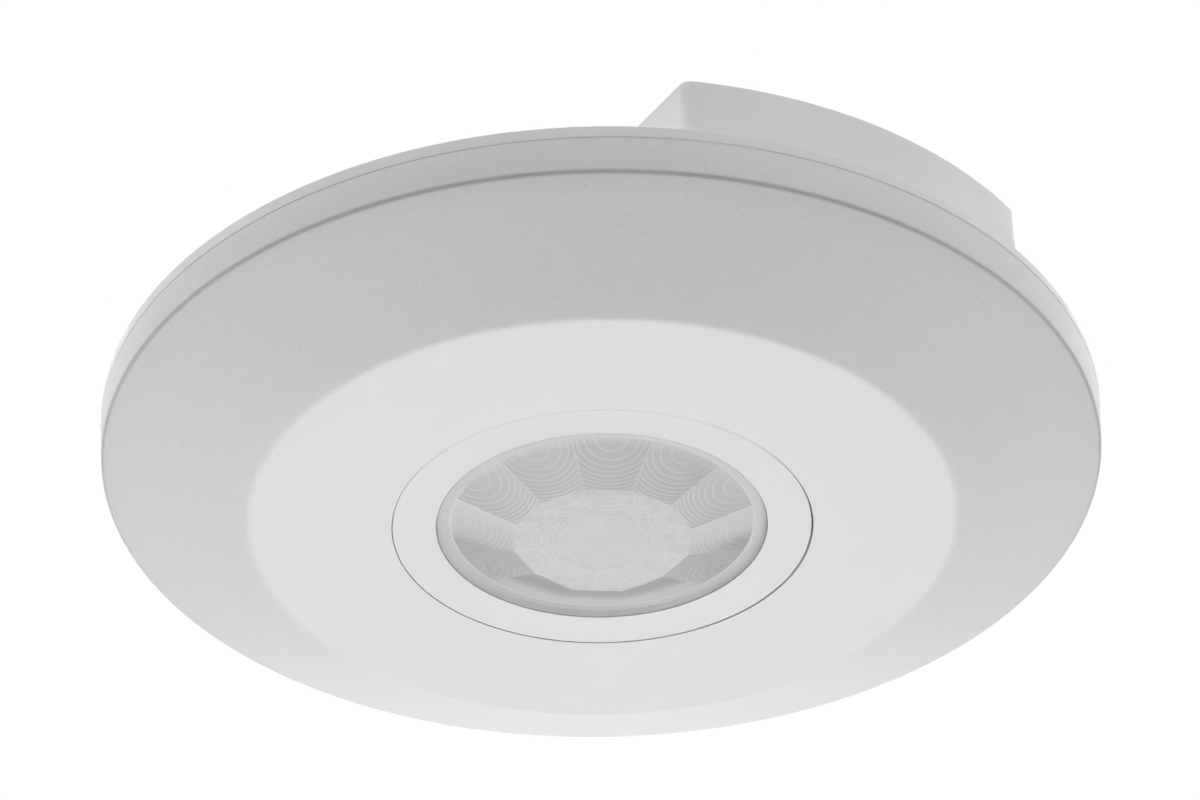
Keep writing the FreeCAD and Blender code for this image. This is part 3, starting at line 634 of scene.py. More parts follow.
front = Sheet()
FRONT_CIRCLES = [                      # r, z from the flange in to the facets
    (R_LENS, Z_FLANGE), (R_PLUG + 0.02, Z_FLANGE), (R_PLUG, Z_PLUG + 0.08),
    (R_PLUG - 0.03, Z_PLUG + 0.025), (R_PLUG - 0.08, Z_PLUG),
    (R_PLUG - 0.7, (Z_PLUG + Z_FACETS) / 2 + 0.01), (R_FACETS + 0.14, Z_FACETS - 0.012),
    (R_FACETS + 0.04, Z_FACETS - 0.002), (R_FACETS - 0.04, None),
]
for radius, z in FRONT_CIRCLES:
    front.line(lens_circle(radius, z), closed=True)
for i in range(12):
    a = TURN + 30 * i
    # ridges between neighbouring facets
    r_ridge = R_FACETS - 0.1
    front.line([on_lens(r_ridge - (r_ridge - R_MIDDLE) * k / 16, a) for k in range(0, 16)])
    front.line([on_lens(R_MIDDLE - (R_MIDDLE - R_INNER) * k / 10, a) for k in range(1, 10)])
    # straight edges shared by the rings of facets
    for radius, z, steps in ((R_MIDDLE, Z_MIDDLE, 12), (R_INNER, Z_INNER, 8)):
        (x0, y0), (x1, y1) = polar(radius, a), polar(radius, a + 30)
        parts = [k / steps for k in range(steps)]
        front.line([(x0 + (x1 - x0) * t, y0 + (y1 - y0) * t, z) for t in parts] + [(x1, y1, z)])

outer_radii, middle_radii = (
    [math.sqrt(first + pitch * k) for k in range(count)]
    for (first, pitch), count in ((OUTER_GROOVES, 10), (MIDDLE_GROOVES, 5)))
for i in range(12):
    a = TURN + 15 + 30 * i
    add_grooves(front, on_lens(R_FACETS, a), outer_radii, 0.02,
                facet_test(a, 15, s_lo=S_MIDDLE, r_hi=R_FACETS))
    add_grooves(front, on_lens(S_MIDDLE, a), middle_radii, 0.012,
                facet_test(a, 15, s_lo=S_INNER, s_hi=S_MIDDLE), 0.24)
for i in range(6):
    boundary = TURN + INNER_TURN + 60 * i
    a = boundary + 30
    add_grooves(front, on_lens(S_INNER - 0.1, a), INNER_RADII, 0.012,
                facet_test(a, 30, r_lo=R_LENSLET, r_hi=S_INNER), 0.22)
    line = [on_lens(R_LENSLET + 0.08 + (S_INNER - 0.2 - R_LENSLET) * k / 6, boundary)
            for k in range(7)]
    front.line([(x, y, z + 0.008) for x, y, z in line])
# the lenslet: a shallow cap with a fine groove round it, as (r, height over the tip)
LENSLET_CIRCLES = [(R_LENSLET, 0.028), (R_LENSLET - 0.07, 0.015), (R_LENSLET * 0.75, 0.010),
                   (R_LENSLET * 0.45, 0.005), (R_LENSLET * 0.2, 0.002)]
for radius, height in LENSLET_CIRCLES:
    angles = [2 * math.pi * k / 40 for k in range(40)]
    front.line([(radius * math.cos(a), radius * math.sin(a), Z_TIP + height) for a in angles],
               closed=True)
front.point(0, 0, Z_TIP)

# plain upper side
back = Sheet()
Z_FLANGE_TOP = Z_SEAT - 0.02
back.line(lens_circle(R_LENS, Z_FLANGE_TOP), closed=True)
back.line(lens_circle(17.45, Z_FLANGE_TOP, every=4), closed=True)
back.line([(x, y, z + LENS_WALL) for x, y, z in lens_circle(17.1, every=4)], closed=True)
for radius, z in ((R_MIDDLE, Z_MIDDLE), (R_INNER, Z_INNER)):
    back.line([on_lens(radius, TURN + 30 * i, z + LENS_WALL) for i in range(12)])
back.point(0, 0, Z_TIP + LENS_WALL)


def rim_indices(verts, offset):
    """Indices of the outer circle's points, in order of angle."""
    found = [(math.atan2(y, x), k + offset) for k, (x, y, _) in enumerate(verts)
             if math.hypot(x, y) > R_LENS - 1e-3]
    return [k for _, k in sorted(found)]


front_verts, front_faces = front.triangulate(0.0)
back_verts, back_faces = back.triangulate(LENS_WALL)
n = len(front_verts)
faces = [tuple(face) for face in front_faces]
faces += [tuple(n + i for i in reversed(face)) for face in back_faces]
front_rim, back_rim = rim_indices(front_verts, 0), rim_indices(back_verts, n)
for i in range(len(front_rim)):
    j = (i + 1) % len(front_rim)
    faces.append((front_rim[i], front_rim[j], back_rim[j], back_rim[i]))
verts = [(x, y, max(Z_LENS_TIP, z)) for x, y, z in front_verts] + back_verts
new_object("fresnel_lens_faceted", ([sit(*v) for v in verts], faces), "sensor_head",
           "fresnel_lens", sharp=3.0)

# --------------------------------------------------------- material helpers
FALL = (1.0, 0.0)                      # a span that goes from one down to zero


def feed(tree, socket, value):
    """Links a Signal to a socket, or sets its colour or number."""
    if isinstance(value, Signal):
        tree.links.new(value.socket, socket)
    elif isinstance(value, tuple):
        socket.default_value = (*value, 1.0)
    else:
        socket.default_value = value


class Signal:
    """Output of a shader node. Arithmetic on it adds math nodes."""

    def __init__(self, tree, socket):
        self.tree = tree
        self.socket = socket

    def math(self, operation, *values):
        node = self.tree.nodes.new("ShaderNodeMath")
        node.operation = operation
        for socket, value in zip(node.inputs, values):
            feed(self.tree, socket, value)
        return Signal(self.tree, node.outputs[0])

    def __add__(self, other):
        return self.math("ADD", self, other)

    def __radd__(self, other):
        return self.math("ADD", other, self)

    def __sub__(self, other):
        return self.math("SUBTRACT", self, other)

    def __rsub__(self, other):
        return self.math("SUBTRACT", other, self)

    def __mul__(self, other):
        return self.math("MULTIPLY", self, other)

    def __truediv__(self, other):
        return self.math("DIVIDE", self, other)

    def __mod__(self, other):
        return self.math("FLOORED_MODULO", self, other)

    def __abs__(self):
        return self.math("ABSOLUTE", self)

    def sqrt(self):
        return self.math("SQRT", self)

    def sin(self):
        return self.math("SINE", self)

    def cos(self):
        return self.math("COSINE", self)

    def round(self):
        return self.math("ROUND", self)

    def max(self, other):
        return self.math("MAXIMUM", self, other)

    def arctan2(self, x):
        return self.math("ARCTAN2", self, x)

    def span(self, start, end, to=(0.0, 1.0)):
        """Maps start..end onto the two values of `to`, held beyond the ends."""
        node = self.tree.nodes.new("ShaderNodeMapRange")
        for i, value in enumerate((start, end, *to), 1):
            node.inputs[i].default_value = value
        feed(self.tree, node.inputs[0], self)
        return Signal(self.tree, node.outputs[0])

    def ramp(self, stops):
        """Grey ramp from (position, grey) stops."""
        node = self.tree.nodes.new("ShaderNodeValToRGB")
        elements = node.color_ramp.elements
        while len(elements) < len(stops):
            elements.new(0.5)
        for k, (position, value) in enumerate(stops):
            elements[k].position = position
            elements[k].color = (*grey(value), 1.0)
        feed(self.tree, node.inputs[0], self)
        return Signal(self.tree, node.outputs[0])


class Shader:
    """A material built round one Principled surface."""

    def __init__(self, name, rough, metallic=0.0):
        self.material = bpy.data.materials.new(name)
        self.material.use_nodes = True
        self.tree = self.material.node_tree
        self.tree.nodes.clear()
        out = self.node("OutputMaterial")
        self.surface = self.node("BsdfPrincipled")
        self.set("Roughness", rough)
        self.set("Metallic", metallic)
        self.tree.links.new(self.surface.outputs[0], out.inputs[0])
        self.coord = self.output(self.node("TexCoord"), "Object")

    def node(self, kind):
        return self.tree.nodes.new("ShaderNode" + kind)

    def output(self, node, key=0):
        return Signal(self.tree, node.outputs[key])

    def set(self, name, value):
        feed(self.tree, self.surface.inputs[name], value)

    def set_colour(self, colour):
        self.colour = colour
        self.set("Base Color", colour)

    def subsurface(self, weight, scale):
        self.set("Subsurface Weight", weight)
        self.surface.inputs["Subsurface Radius"].default_value = (1.0, 1.0, 1.0)
        self.set("Subsurface Scale", scale)

    def noise(self, scale, detail, rough, distortion=0.0, stretch=None):
        node = self.node("TexNoise")
        for name, value in (("Scale", scale), ("Detail", detail), ("Roughness", rough),
                            ("Distortion", distortion)):
            node.inputs[name].default_value = value
        source = self.coord
        if stretch:
            mapping = self.node("Mapping")
            mapping.inputs["Scale"].default_value = stretch
            feed(self.tree, mapping.inputs[0], source)
            source = self.output(mapping)
        feed(self.tree, node.inputs["Vector"], source)
        return self.output(node, "Fac")

    def voronoi(self, scale, feature="F1"):
        node = self.node("TexVoronoi")
        node.feature = feature
        node.inputs["Scale"].default_value = scale
        feed(self.tree, node.inputs["Vector"], self.coord)
        return self.output(node, "Distance")

    def mix(self, factor, first, second, blend="MIX"):
        node = self.node("Mix")
        node.data_type = "RGBA"
        node.blend_type = blend
        for i, value in ((0, factor), (6, first), (7, second)):
            feed(self.tree, node.inputs[i], value)
        return self.output(node, 2)

    def multiply(self, first, second):
        return self.mix(1.0, first, second, "MULTIPLY")

    def bump(self, height, distance, strength=1.0, normal=None):
        node = self.node("Bump")
        node.inputs["Strength"].default_value = strength
        node.inputs["Distance"].default_value = distance
        feed(self.tree, node.inputs["Height"], height)
        if normal is not None:
            feed(self.tree, node.inputs["Normal"], normal)
        return self.output(node)

    def split(self, vector):
        node = self.node("SeparateXYZ")
        feed(self.tree, node.inputs[0], vector)
        return [self.output(node, i) for i in range(3)]


def grey(value):
    return (value,) * 3


def shade(colour, factor):
    return tuple(min(1.0, max(0.0, c * factor)) for c in colour)


def length(x, y):
    return (x * x + y * y).sqrt()


def use(shader, *names):
    for name in names:
        ob = nodes[name] if name in nodes else bpy.data.objects[name]
        ob.data.materials.clear()
        ob.data.materials.append(shader.material)


def parting_line_shade(shader):
    """Strength of the painted shade, a faint grey line along the parting line."""
    x, y, z = shader.split(shader.coord)
    r_squared = x * x + y * y
    # rise of the wavy line per unit of x and y
    tilt = x * (0.3622 / 59.0) + y * (0.0987 / 59.0)
    off_line = abs((z - tilt) - (Z_HEAD - PART_DROP - 0.03) * MM)
    near_line = off_line.span(0.05 * MM, 0.42 * MM, to=(0.075, 0.0))
    return near_line * r_squared.span(0.0583 ** 2, 0.0586 ** 2)


def plastic(name, colour, rough, grain, depth, vary, specks=0.0, gloss_vary=0.08, sss=0.0):
    """Moulded plastic: fine grain, slow colour drift, polished patches."""
    shader = Shader(name, rough)
    slow = shader.noise(scale=38, detail=3, rough=0.6)
    mid = shader.noise(scale=420, detail=4, rough=0.55)
    fine = shader.noise(scale=grain, detail=2, rough=0.6)
    body = shader.mix(slow.span(0.3, 0.7), shade(colour, 1 - vary), shade(colour, 1 + vary * 0.6))
    body = shader.mix(mid.span(0.35, 0.65, to=(0.0, 0.35)), body, shade(colour, 1 - vary * 0.8))
    if specks:
        dots = shader.voronoi(scale=650).span(0.02, 0.06, to=(specks, 0.0))
        body = shader.mix(dots * 1.0, body, shade(colour, 0.55))
    shader.set_colour(body)
    shader.set("Roughness", mid.span(0.3, 0.7, to=around(rough, gloss_vary)))
    coarse = shader.bump(mid, distance=depth * 1.6, strength=0.6)
    shader.set("Normal", shader.bump(fine, distance=depth, normal=coarse))
    if sss:
        shader.subsurface(weight=sss, scale=0.0008)
    return shader


def metal(name, colour, rough, streak, scale, depth, tarnish):
    shader = Shader(name, rough, metallic=1.0)
    line_highlights = shader.noise(scale=scale, detail=4, rough=0.6, stretch=streak)
    spots = shader.noise(scale=520, detail=5, rough=0.7)
    shader.set_colour(shader.mix(spots.span(0.35, 0.75), colour, shade(colour, 1 - tarnish)))
    shader.set("Roughness", line_highlights.span(0.25, 0.75, to=(rough * 0.7, rough * 1.4)))
    shader.set("Normal", shader.bump(line_highlights, distance=depth, strength=0.8))
    return shader


# ------------------------------------ housing: matte flank, smoother flat face
WHITE = (0.80, 0.80, 0.797)
housing = Shader("housing_white", rough=0.5)
x, y, z = housing.split(housing.coord)
radius = length(x, y)
flank = radius.span((R_FACE - 0.5) * MM, (R_FACE + 0.7) * MM)
slow = housing.noise(scale=30, detail=3, rough=0.6)
mid = housing.noise(scale=300, detail=4, rough=0.6)
fine = housing.noise(scale=2600, detail=3, rough=0.65)
grit = housing.noise(scale=5200, detail=2, rough=0.6)
colour = housing.mix(slow.span(0.3, 0.7), shade(WHITE, 0.985), shade(WHITE, 1.01))
grain = fine.span(0.35, 0.68, to=(0.0, 0.80)) * flank
colour = housing.mix(grain, colour, shade(WHITE, 0.92))
smudge = housing.noise(scale=75, detail=5, rough=0.7, distortion=0.8)
colour = housing.mix(smudge.span(0.56, 0.72, to=(0.0, 0.30)), colour, shade(WHITE, 0.975))
dust = housing.voronoi(scale=240).span(0.018, 0.045, to=(0.55, 0.0))
# painted shade: dark line along the crease
crease_shade = abs(z * 1000.0 - (Z_CREASE + 0.08))
crease_shade = crease_shade.span(0.04, 0.36, to=(0.17, 0.0)) * radius.span(0.0582, 0.0584)
colour = housing.mix(crease_shade, colour, grey(0.15))
# painted shade along the parting line, where the cover meets the back plate
colour = housing.mix(parting_line_shade(housing), colour, grey(0.2))
housing.set_colour(housing.mix(dust, colour, shade(WHITE, 0.72)))
housing.set("Roughness", mid.span(0.3, 0.7, to=(0.40, 0.48)) + flank * 0.10)
relief = (fine + grit * 0.6) * flank.span(0, 1, to=(0.12, 1.0)) + mid * 0.25
housing.set("Normal", housing.bump(relief, distance=1.3e-5))
use(housing, "front_cover_shell")

# ------------------------- trim ring: painted shade on the outer edge towards SHADE_BEARING
SHADE_BEARING = math.radians(-123.0)
trim = plastic("trim_white", (0.79, 0.79, 0.787), rough=0.36, grain=2600, depth=1.5e-6,
               vary=0.012, specks=0.10, gloss_vary=0.05)
x, y, _ = trim.split(trim.coord)
radius = length(x, y)
# about one at the ring's edge in that direction
direction = (x * (math.cos(SHADE_BEARING) / 0.0245)
             + y * (math.sin(SHADE_BEARING) / 0.0245))
# painted shade: the outer edge darkens where it meets the cover, most towards SHADE_BEARING
edge = (radius.span((R_RING_OUT - 0.30) * MM, (R_RING_OUT - 0.12) * MM)
        * direction.span(0.2, 0.9, to=(0.0, 0.17)))
trim.set_colour(trim.mix(edge, trim.colour, grey(0.25)))
use(trim, "lens_trim_ring")

# ------------------------------------------------ back plate and ceiling base
base = plastic("base_white", WHITE, rough=0.46, grain=2400, depth=5e-6, vary=0.015, specks=0.10)
# painted shade along the parting line
base.set_colour(base.mix(parting_line_shade(base), base.colour, grey(0.2)))
use(base, "ceiling_base", "head_back_plate")

# ------------------------------------------------------------- small pieces
# maker, name, colour, settings, pieces. Settings of
#   plastic: roughness, grain scale, grain depth (m), colour change, specks, gloss change,
#            subsurface weight
#   metal: roughness, stretch of the streaks, their scale and depth (m), tarnish
SMALL_PARTS = [
    (plastic, "funnel_white", (0.74, 0.74, 0.73), (0.5, 2600, 3e-6, 0.02), ["sensor_funnel"]),
    (plastic, "rubber_grey", (0.085, 0.087, 0.09), (0.72, 2400, 9e-6, 0.15, 0.35),
     ["cable_grommet"]),
    (plastic, "terminal_grey", (0.30, 0.32, 0.34), (0.42, 2800, 5e-6, 0.06),
     ["terminal_block"]),
    (metal, "zinc_steel", (0.62, 0.63, 0.62), (0.30, (1, 1, 6), 1500, 2e-6, 0.2),
     ["terminal_block_screws", "case_screws", "terminal_screw_1", "terminal_screw_2",
      "terminal_screw_3"]),
    (metal, "contact_brass", (0.78, 0.60, 0.32), (0.28, (8, 1, 1), 1400, 2e-6, 0.22),
     ["contact_strips", "contact_blades", "terminal_cage_1", "terminal_cage_2",
      "terminal_cage_3"]),
    (metal, "can_metal", (0.66, 0.66, 0.64), (0.24, (1, 1, 10), 1500, 1.5e-6, 0.1),
     ["infrared_detector"]),
    (metal, "lead_metal", (0.72, 0.71, 0.68), (0.32, (1, 1, 5), 2000, 2e-6, 0.15),
     ["detector_legs"]),
    (metal, "filter_dark", (0.10, 0.09, 0.12), (0.12, (1, 1, 1), 900, 4e-7, 0.3),
     ["detector_window"]),
    (plastic, "lamp_red", (0.55, 0.03, 0.025), (0.16, 900, 8e-7, 0.08, 0.0, 0.04),
     ["indicator_lamp"]),
    (plastic, "light_sensor_clear", (0.62, 0.65, 0.68), (0.12, 900, 8e-7, 0.05, 0.0, 0.04),
     ["light_sensor"]),
    (plastic, "pot_blue", (0.045, 0.12, 0.32), (0.38, 2400, 4e-6, 0.1),
     ["time_potentiometer", "light_level_potentiometer"]),
    (plastic, "adjuster_cream", (0.72, 0.63, 0.45), (0.42, 2400, 4e-6, 0.06),
     ["time_adjuster", "light_level_adjuster"]),
    (plastic, "relay_black", (0.022, 0.023, 0.026), (0.34, 2600, 5e-6, 0.2), ["relay"]),
    (plastic, "capacitor_yellow", (0.66, 0.42, 0.04), (0.36, 2600, 4e-6, 0.08),
     ["suppression_capacitor"]),
    (plastic, "capacitor_sleeve", (0.03, 0.035, 0.06), (0.3, 1800, 3e-6, 0.25),
     ["smoothing_capacitors"]),
    (plastic, "protector_blue", (0.05, 0.13, 0.34), (0.3, 1400, 7e-6, 0.15),
     ["surge_protector"]),
    (plastic, "fuse_body", (0.42, 0.33, 0.22), (0.5, 1800, 6e-6, 0.12), ["fuse_resistor"]),
    (plastic, "chip_black", (0.02, 0.02, 0.022), (0.55, 3600, 5e-6, 0.2),
     ["control_chip", "bridge_rectifier"]),
]
for make, name, colour, settings, pieces in SMALL_PARTS:
    use(make(name, colour, *settings), *pieces)

# ---------------------- circuit board: green resist over a net of copper runs
board = Shader("board_green", rough=0.3)
runs = board.voronoi(scale=260, feature="DISTANCE_TO_EDGE").span(0.03, 0.05, to=FALL)
fibre = board.noise(scale=1800, detail=3, rough=0.6, stretch=(1, 6, 1))
resist = board.mix(fibre.span(0.3, 0.7), (0.012, 0.105, 0.045), (0.018, 0.14, 0.062))
board.set_colour(board.mix(runs, resist, (0.045, 0.24, 0.10)))
board.set("Roughness", fibre.span(0.3, 0.7, to=(0.24, 0.36)))
board.set("Normal", board.bump(runs, distance=1.5e-5, strength=0.8))
use(board, "circuit_board")

# --------------------------------------------------- lens: milky polyethylene
# The grooves show as fine light arcs painted into its colour as highlights, and the facets on the
# side away from the viewer carry painted shade; both follow the view direction. Distances are in
# mm.
milky = Shader("lens_milky", rough=0.30)
x, y, _ = milky.split(milky.coord)
x, y = x * 1000.0, y * 1000.0
radius = length(x, y)
bearing = y.arctan2(x) - math.radians(TURN - 720)


def facet(width, turn=0.0):
    """Distance along the facet's middle, across it, and the angle off the middle."""
    width = math.radians(width)
    off_middle = (bearing - math.radians(turn)) % width - width / 2
    return radius * off_middle.cos(), radius * off_middle.sin(), off_middle


along12, across12, off12 = facet(30.0)
along6, across6, off6 = facet(60.0, INNER_TURN)


def grooves(along, across, centre, first, pitch, width):
    """Mask of painted highlight lines where a facet's grooves lie: equal steps of squared distance.
    """
    from_centre = along - centre
    squared = from_centre * from_centre + across * across
    distance = squared.sqrt()
    count = (squared - first) / pitch
    near = abs(count - count.round())
    off_line = (near * pitch) / (distance * 2.0)
    line = off_line.span(width * 0.35, width, to=FALL)
    return line * squared.span(first - 0.6, first - 0.3)


def seam(off_middle, half, width):
    """Mask of a thin painted highlight line along the ridge between two facets."""
    gap = radius * (math.radians(half) - abs(off_middle)).sin()
    return gap.span(width * 0.3, width, to=FALL)


def beyond(distance, edge, to=(0.0, 1.0)):
    return distance.span(edge - 0.03, edge + 0.03, to)


def edge_line(distance, edge, width):
    return abs(distance - edge).span(0.03, width, to=FALL)


outer_lines = grooves(along12, across12, R_FACETS, *OUTER_GROOVES, width=0.13)
middle_lines = grooves(along12, across12, S_MIDDLE, *MIDDLE_GROOVES, width=0.14)
inner_lines = grooves(along6, across6, S_INNER - 0.1, first=1.9, pitch=3.2, width=0.12)
in_outer = beyond(along12, S_MIDDLE) * radius.span(R_FACETS - 0.05, R_FACETS, to=FALL)
in_middle = beyond(along12, S_INNER) * beyond(along12, S_MIDDLE, FALL)
in_inner = beyond(along12, S_INNER, FALL) * radius.span(R_LENSLET, R_LENSLET + 0.1)
on_shoulder = radius.span(R_FACETS - 0.02, R_FACETS + 0.05)
ridge12 = seam(off12, half=15.0, width=0.13)
ridge6 = seam(off6, half=30.0, width=0.10)
inner_edge = edge_line(along12, S_INNER, width=0.09)
lenslet_edge = edge_line(radius, R_LENSLET, width=0.10)
rim_edge = edge_line(radius, R_FACETS, width=0.14)

# direction of the viewer in the lens's own frame
to_local = milky.node("VectorTransform")
to_local.vector_type = "VECTOR"
to_local.convert_from, to_local.convert_to = "WORLD", "OBJECT"
feed(milky.tree, to_local.inputs[0], milky.output(milky.node("NewGeometry"), "Incoming"))
view_x, view_y, _ = milky.split(milky.output(to_local))
view = view_y.arctan2(view_x)
slant = length(view_x, view_y).span(0.15, 0.75)        # no tones from straight below
point = y.arctan2(x)
facet_middle = point - off12
towards = (facet_middle - view).cos()                  # 1: facet on the viewer's side
here = (point - view).cos()                            # the same for the point itself
far = radius * (here * -1.0)                           # mm beyond the middle

# Painted light and shade tones are stored divided by PEAK. Each stop is (position, tone).
PEAK = 1.25
FACET_TONES = [(0.0, 0.86), (0.18, 0.76), (0.29, 0.77), (0.41, 1.05), (0.56, 1.09),
               (0.70, 0.935), (0.90, 0.91), (1.0, 0.90)]
FAR_FACET_SHADE_TONES = [(0.0, 0.60), (0.12, 0.52), (0.24, 0.485), (0.36, 0.50), (0.50, 0.61),
              (0.62, 0.80), (0.70, 0.87), (1.0, 0.86)]
SHOULDER_TONES = [(0.0, 0.90), (0.08, 0.92), (0.25, 0.99), (0.5, 1.14), (0.8, 1.03),
                  (1.0, 0.99)]
BANK_FACTORS = [(0.0, 0.90), (0.38, 0.92), (0.47, 0.82), (0.52, 0.82), (0.66, 1.0),
                (0.84, 1.04), (1.0, 0.97)]


def tones(signal, stops):
    return signal.ramp([(position, tone / PEAK) for position, tone in stops])


def tone(value):
    return grey(value / PEAK)


# outer facets: painted light and shade by direction to the viewer, with a slope across the side
# ones
facet_tone = tones(towards.span(-1, 1), FACET_TONES)
across_view = (facet_middle - view).sin()
lean = (here - towards) * towards.span(-0.3, -0.05, to=(0.0, 0.34))
lean = lean + across_view * towards.span(-0.38, -0.10, to=(-0.02, 0.045))
facet_tone = milky.multiply(facet_tone, lean + 1.0)
# painted shade on the far ones, behind a painted lighter lip
far_facet_shade = tones(along12.span(10.0, 18.0), FAR_FACET_SHADE_TONES)
outer = milky.mix(towards.span(-0.62, -0.78), facet_tone, far_facet_shade)
lip_light = along12 - here.span(-0.755, -0.98, to=(S_MIDDLE, S_MIDDLE + 1.12))
lip_light = lip_light.span(-0.05, 0.05, to=FALL) * here.span(-0.755, -0.80)
outer = milky.mix(lip_light, outer, tone(0.89))
# painted shade: the two at the sides darken beyond the middle
side_shade = (abs(towards).span(0.20, 0.32, to=FALL)
        * (far.span(1.6, 4.2) * radius.span(11.5, 16.0, to=(0.2, 1.0))))
outer = milky.mix(side_shade, outer, tone(0.70))

# shoulder: painted light and shade by view direction, painted shade on its edge and in a patch 119
# degrees round from the viewer, painted bands of light and shade on the far side
shoulder = tones(here.span(-1, 1), SHOULDER_TONES)
uneven = 1.0 + (point - view).sin() * 0.40
edge = uneven * (radius.span(18.7, 19.3) * here.span(0.35, -0.1, to=(0.0, 0.62)))
shoulder = milky.mix(edge, shoulder, tone(0.68))
patch = ((point - view) - math.radians(119.0)).cos()
patch = patch.span(0.80, 0.98) * radius.span(18.1, 19.1, to=(0.05, 0.24))
shoulder = milky.mix(patch, shoulder, grey(0.0))
bank = radius.span(17.7, 19.4).ramp(BANK_FACTORS)
banked = milky.multiply(milky.multiply(shoulder, grey(1.10)), bank)
shoulder = milky.mix(here.span(-0.72, -0.92), shoulder, banked)

# middle: painted light, a little lighter away from the viewer
inner = tones(radius.span(4.3, 7.0), [(0.0, 1.0), (1.0, 1.065)])
inner = milky.mix(here.span(0.25, -0.35), tone(1.0), inner)
# painted light: the near edge of the outer facets is lighter
near_edge_light = 1.0 + radius.span(16.6, 17.6, to=(0.0, 0.15)) * here.span(0.35, 0.85)
outer = milky.multiply(outer, near_edge_light)
total = milky.mix(in_outer, inner, outer)
total = milky.mix(on_shoulder, total, shoulder)
total = milky.mix(slant, tone(0.97), total)
total = milky.multiply(total, grey(PEAK))

# body colour, rippled in the middle ring
haze = milky.noise(scale=160, detail=4, rough=0.6)
tiny = milky.noise(scale=2400, detail=3, rough=0.6)
milk = milky.mix(haze.span(0.3, 0.7), (0.612, 0.612, 0.610), (0.645, 0.645, 0.643))
ripple = milky.noise(scale=520, detail=2, rough=0.5, distortion=1.2)
milk = milky.mix(in_middle * ripple.span(0.34, 0.66), milk, milky.multiply(milk, grey(0.915)))
milk = milky.multiply(milk, total)

# painted highlights: light lines along the grooves, ridges and edges; each number is a strength
HIGHLIGHT_COLOUR = (0.90, 0.90, 0.898)
patchy = milky.noise(scale=90, detail=2, rough=0.5).span(0.35, 0.65, to=(0.55, 1.0))
outer_strength = ((0.13 + towards.span(-0.7, 0.6) * 0.27)
                  * abs(towards).span(0.15, 0.40, to=(0.50, 1.0)))
middle_strength = towards.span(-0.8, 0.8, to=(0.10, 0.26))
line_highlights = (outer_lines * in_outer * outer_strength).max(
    (middle_lines * in_middle * middle_strength).max(inner_lines * in_inner * 0.15))
line_highlights = line_highlights.max(ridge12 * (1.0 - on_shoulder) * (in_outer * outer_strength + in_middle * 0.09))
line_highlights = line_highlights.max(ridge6 * in_inner * 0.12)
line_highlights = line_highlights.max(inner_edge.max(lenslet_edge) * 0.14)
rim_strength = here.span(0.9, -0.2, to=(0.10, 0.35)) * here.span(-0.95, -0.6, to=(0.45, 1.0))
line_highlights = line_highlights.max(rim_edge * rim_strength)
milky.set_colour(milky.mix(line_highlights * patchy, milk, HIGHLIGHT_COLOUR))
milky.set("Roughness", haze.span(0.3, 0.7, to=(0.30, 0.40)))
milky.set("Normal", milky.bump(tiny, distance=1.5e-6, strength=0.7))
milky.subsurface(weight=0.25, scale=0.0003)
use(milky, "fresnel_lens_faceted")

# -------------------------------------------------------------------- floor
FLOOR_Z = -1.6                         # metres
bpy.ops.mesh.primitive_grid_add(x_subdivisions=8, y_subdivisions=8, size=30,
                                location=(0, 0, FLOOR_Z))
floor = bpy.context.active_object
floor.name = "studio_floor"
pale = Shader("floor_pale", rough=0.75)
drift = pale.noise(scale=3, detail=3, rough=0.5).span(0.3, 0.7)
pale.set_colour(pale.mix(drift, grey(0.86), grey(0.88)))
# the floor stays pale to the eye without throwing extra light on the object
seen_by_camera = pale.output(pale.node("LightPath"), "Is Camera Ray")
brightness = pale.noise(scale=1.5, detail=2, rough=0.5).span(0.3, 0.7, to=(0.90, 0.96))
pale.set("Emission Color", grey(0.86))
pale.set("Emission Strength", seen_by_camera * brightness)
floor.data.materials.append(pale.material)
floor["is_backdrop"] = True

# ------------------------------------------------------------------- lights
CAMERA_AZIMUTH, CAMERA_ELEVATION = math.radians(-33.0), math.radians(-35.395)
CAMERA_ROLL = math.radians(-0.994)
centre = Vector((0, 0, (cad_lo.z + cad_hi.z) / 2))
LIGHT_DISTANCE, LIGHT_SIZE = 1.3, 0.75     # metres
LIGHTS = [  # azimuth from the camera's side and elevation in degrees, power in watts
    (90, -60, 0.508), (180, -60, 5.237), (225, -60, 2.793),
    (135, -38, 1.988), (180, -38, 1.938), (225, -38, 2.823),
    (0, -16, 0.801), (90, -16, 0.925),
    (90, 6, 0.544), (180, 6, 2.037), (270, 6, 0.486),
    (0, 30, 4.215), (45, 30, 4.088), (90, 30, 4.038), (135, 30, 4.273),
    (225, 30, 3.725), (270, 30, 5.342), (315, 30, 3.680),
]


def outward(azimuth, elevation):
    """Unit vector from the object: azimuth 0 is -Y, a quarter turn is +X."""
    return Vector((math.sin(azimuth) * math.cos(elevation),
                   -math.cos(azimuth) * math.cos(elevation), math.sin(elevation)))


def add_light(name, azimuth, elevation, power):
    """Round soft light aimed at the object."""
    away = outward(CAMERA_AZIMUTH + math.radians(azimuth), math.radians(elevation))
    data = bpy.data.lights.new(name, "AREA")
    data.shape = "DISK"
    data.size = LIGHT_SIZE
    data.energy = power
    ob = bpy.data.objects.new(name, data)
    ob.location = centre + away * LIGHT_DISTANCE
    ob.rotation_mode = "QUATERNION"
    ob.rotation_quaternion = away.to_track_quat("Z", "Y")
    ob.visible_camera = False
    bpy.context.scene.collection.objects.link(ob)


for k, light in enumerate(LIGHTS):
    add_light("soft_box_%02d" % (k + 1), *light)

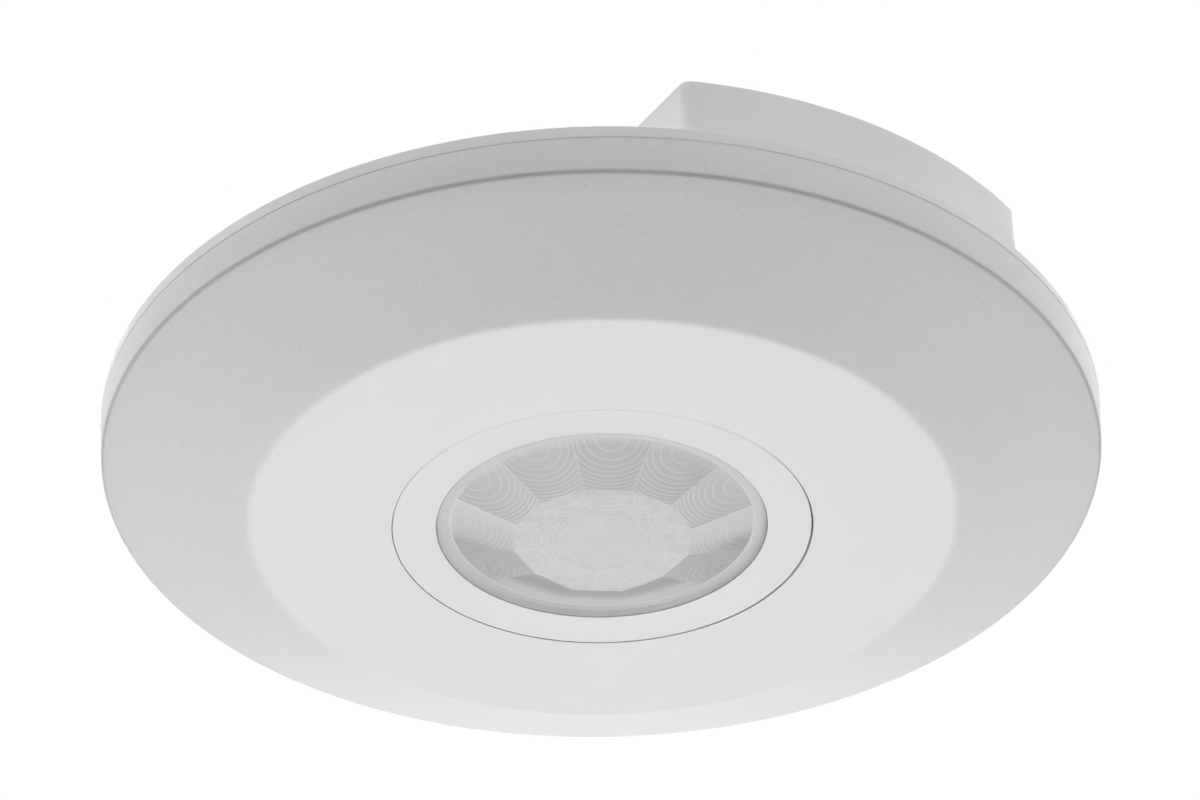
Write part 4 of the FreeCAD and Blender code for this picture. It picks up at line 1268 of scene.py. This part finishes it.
# ---------------------------- world: white to the camera, no light from it
world = bpy.data.worlds.new("studio")
bpy.context.scene.world = world
world.use_nodes = True
tree = world.node_tree
tree.nodes.clear()
world_out = tree.nodes.new("ShaderNodeOutputWorld")
light_path = tree.nodes.new("ShaderNodeLightPath")
choose = tree.nodes.new("ShaderNodeMixShader")
tree.links.new(light_path.outputs["Is Camera Ray"], choose.inputs[0])
for i, strength in ((1, 0.0), (2, 1.0)):   # other rays, camera rays
    background = tree.nodes.new("ShaderNodeBackground")
    background.inputs[0].default_value = (1, 1, 1, 1)
    background.inputs[1].default_value = strength
    tree.links.new(background.outputs[0], choose.inputs[i])
tree.links.new(choose.outputs[0], world_out.inputs[0])

# --------------------------------------------- camera: long lens, from below
# millimetres from the camera to the axis at the crease: right, down, forward
AIM_RIGHT, AIM_DOWN, AIM_FORWARD = 0.0446272, 9.6171616, 489.75416
forward = -outward(CAMERA_AZIMUTH, CAMERA_ELEVATION)
level_right = Vector((math.cos(CAMERA_AZIMUTH), math.sin(CAMERA_AZIMUTH), 0))
level_down = forward.cross(level_right)
cos_roll, sin_roll = math.cos(CAMERA_ROLL), math.sin(CAMERA_ROLL)
right = level_right * cos_roll - level_down * sin_roll
down = level_right * sin_roll + level_down * cos_roll
aim = right * (AIM_RIGHT * MM) + down * (AIM_DOWN * MM) + forward * (AIM_FORWARD * MM)
camera_data = bpy.data.cameras.new("camera")
camera_data.sensor_width = 36.0
camera_data.lens = 124.605
camera_data.shift_x, camera_data.shift_y = -0.00116667, 0.000166667
camera_data.clip_start, camera_data.clip_end = 0.01, 60
camera = bpy.data.objects.new("camera", camera_data)
matrix = Matrix((right, -down, -forward)).transposed().to_4x4()
matrix.translation = Vector((0, 0, Z_CREASE * MM)) - aim
camera.matrix_world = matrix
bpy.context.scene.collection.objects.link(camera)
bpy.context.scene.camera = camera

view_settings = bpy.context.scene.view_settings
view_settings.view_transform = "Standard"
view_settings.look = "None"
view_settings.exposure = 0.0
view_settings.gamma = 1.0

lo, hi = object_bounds()
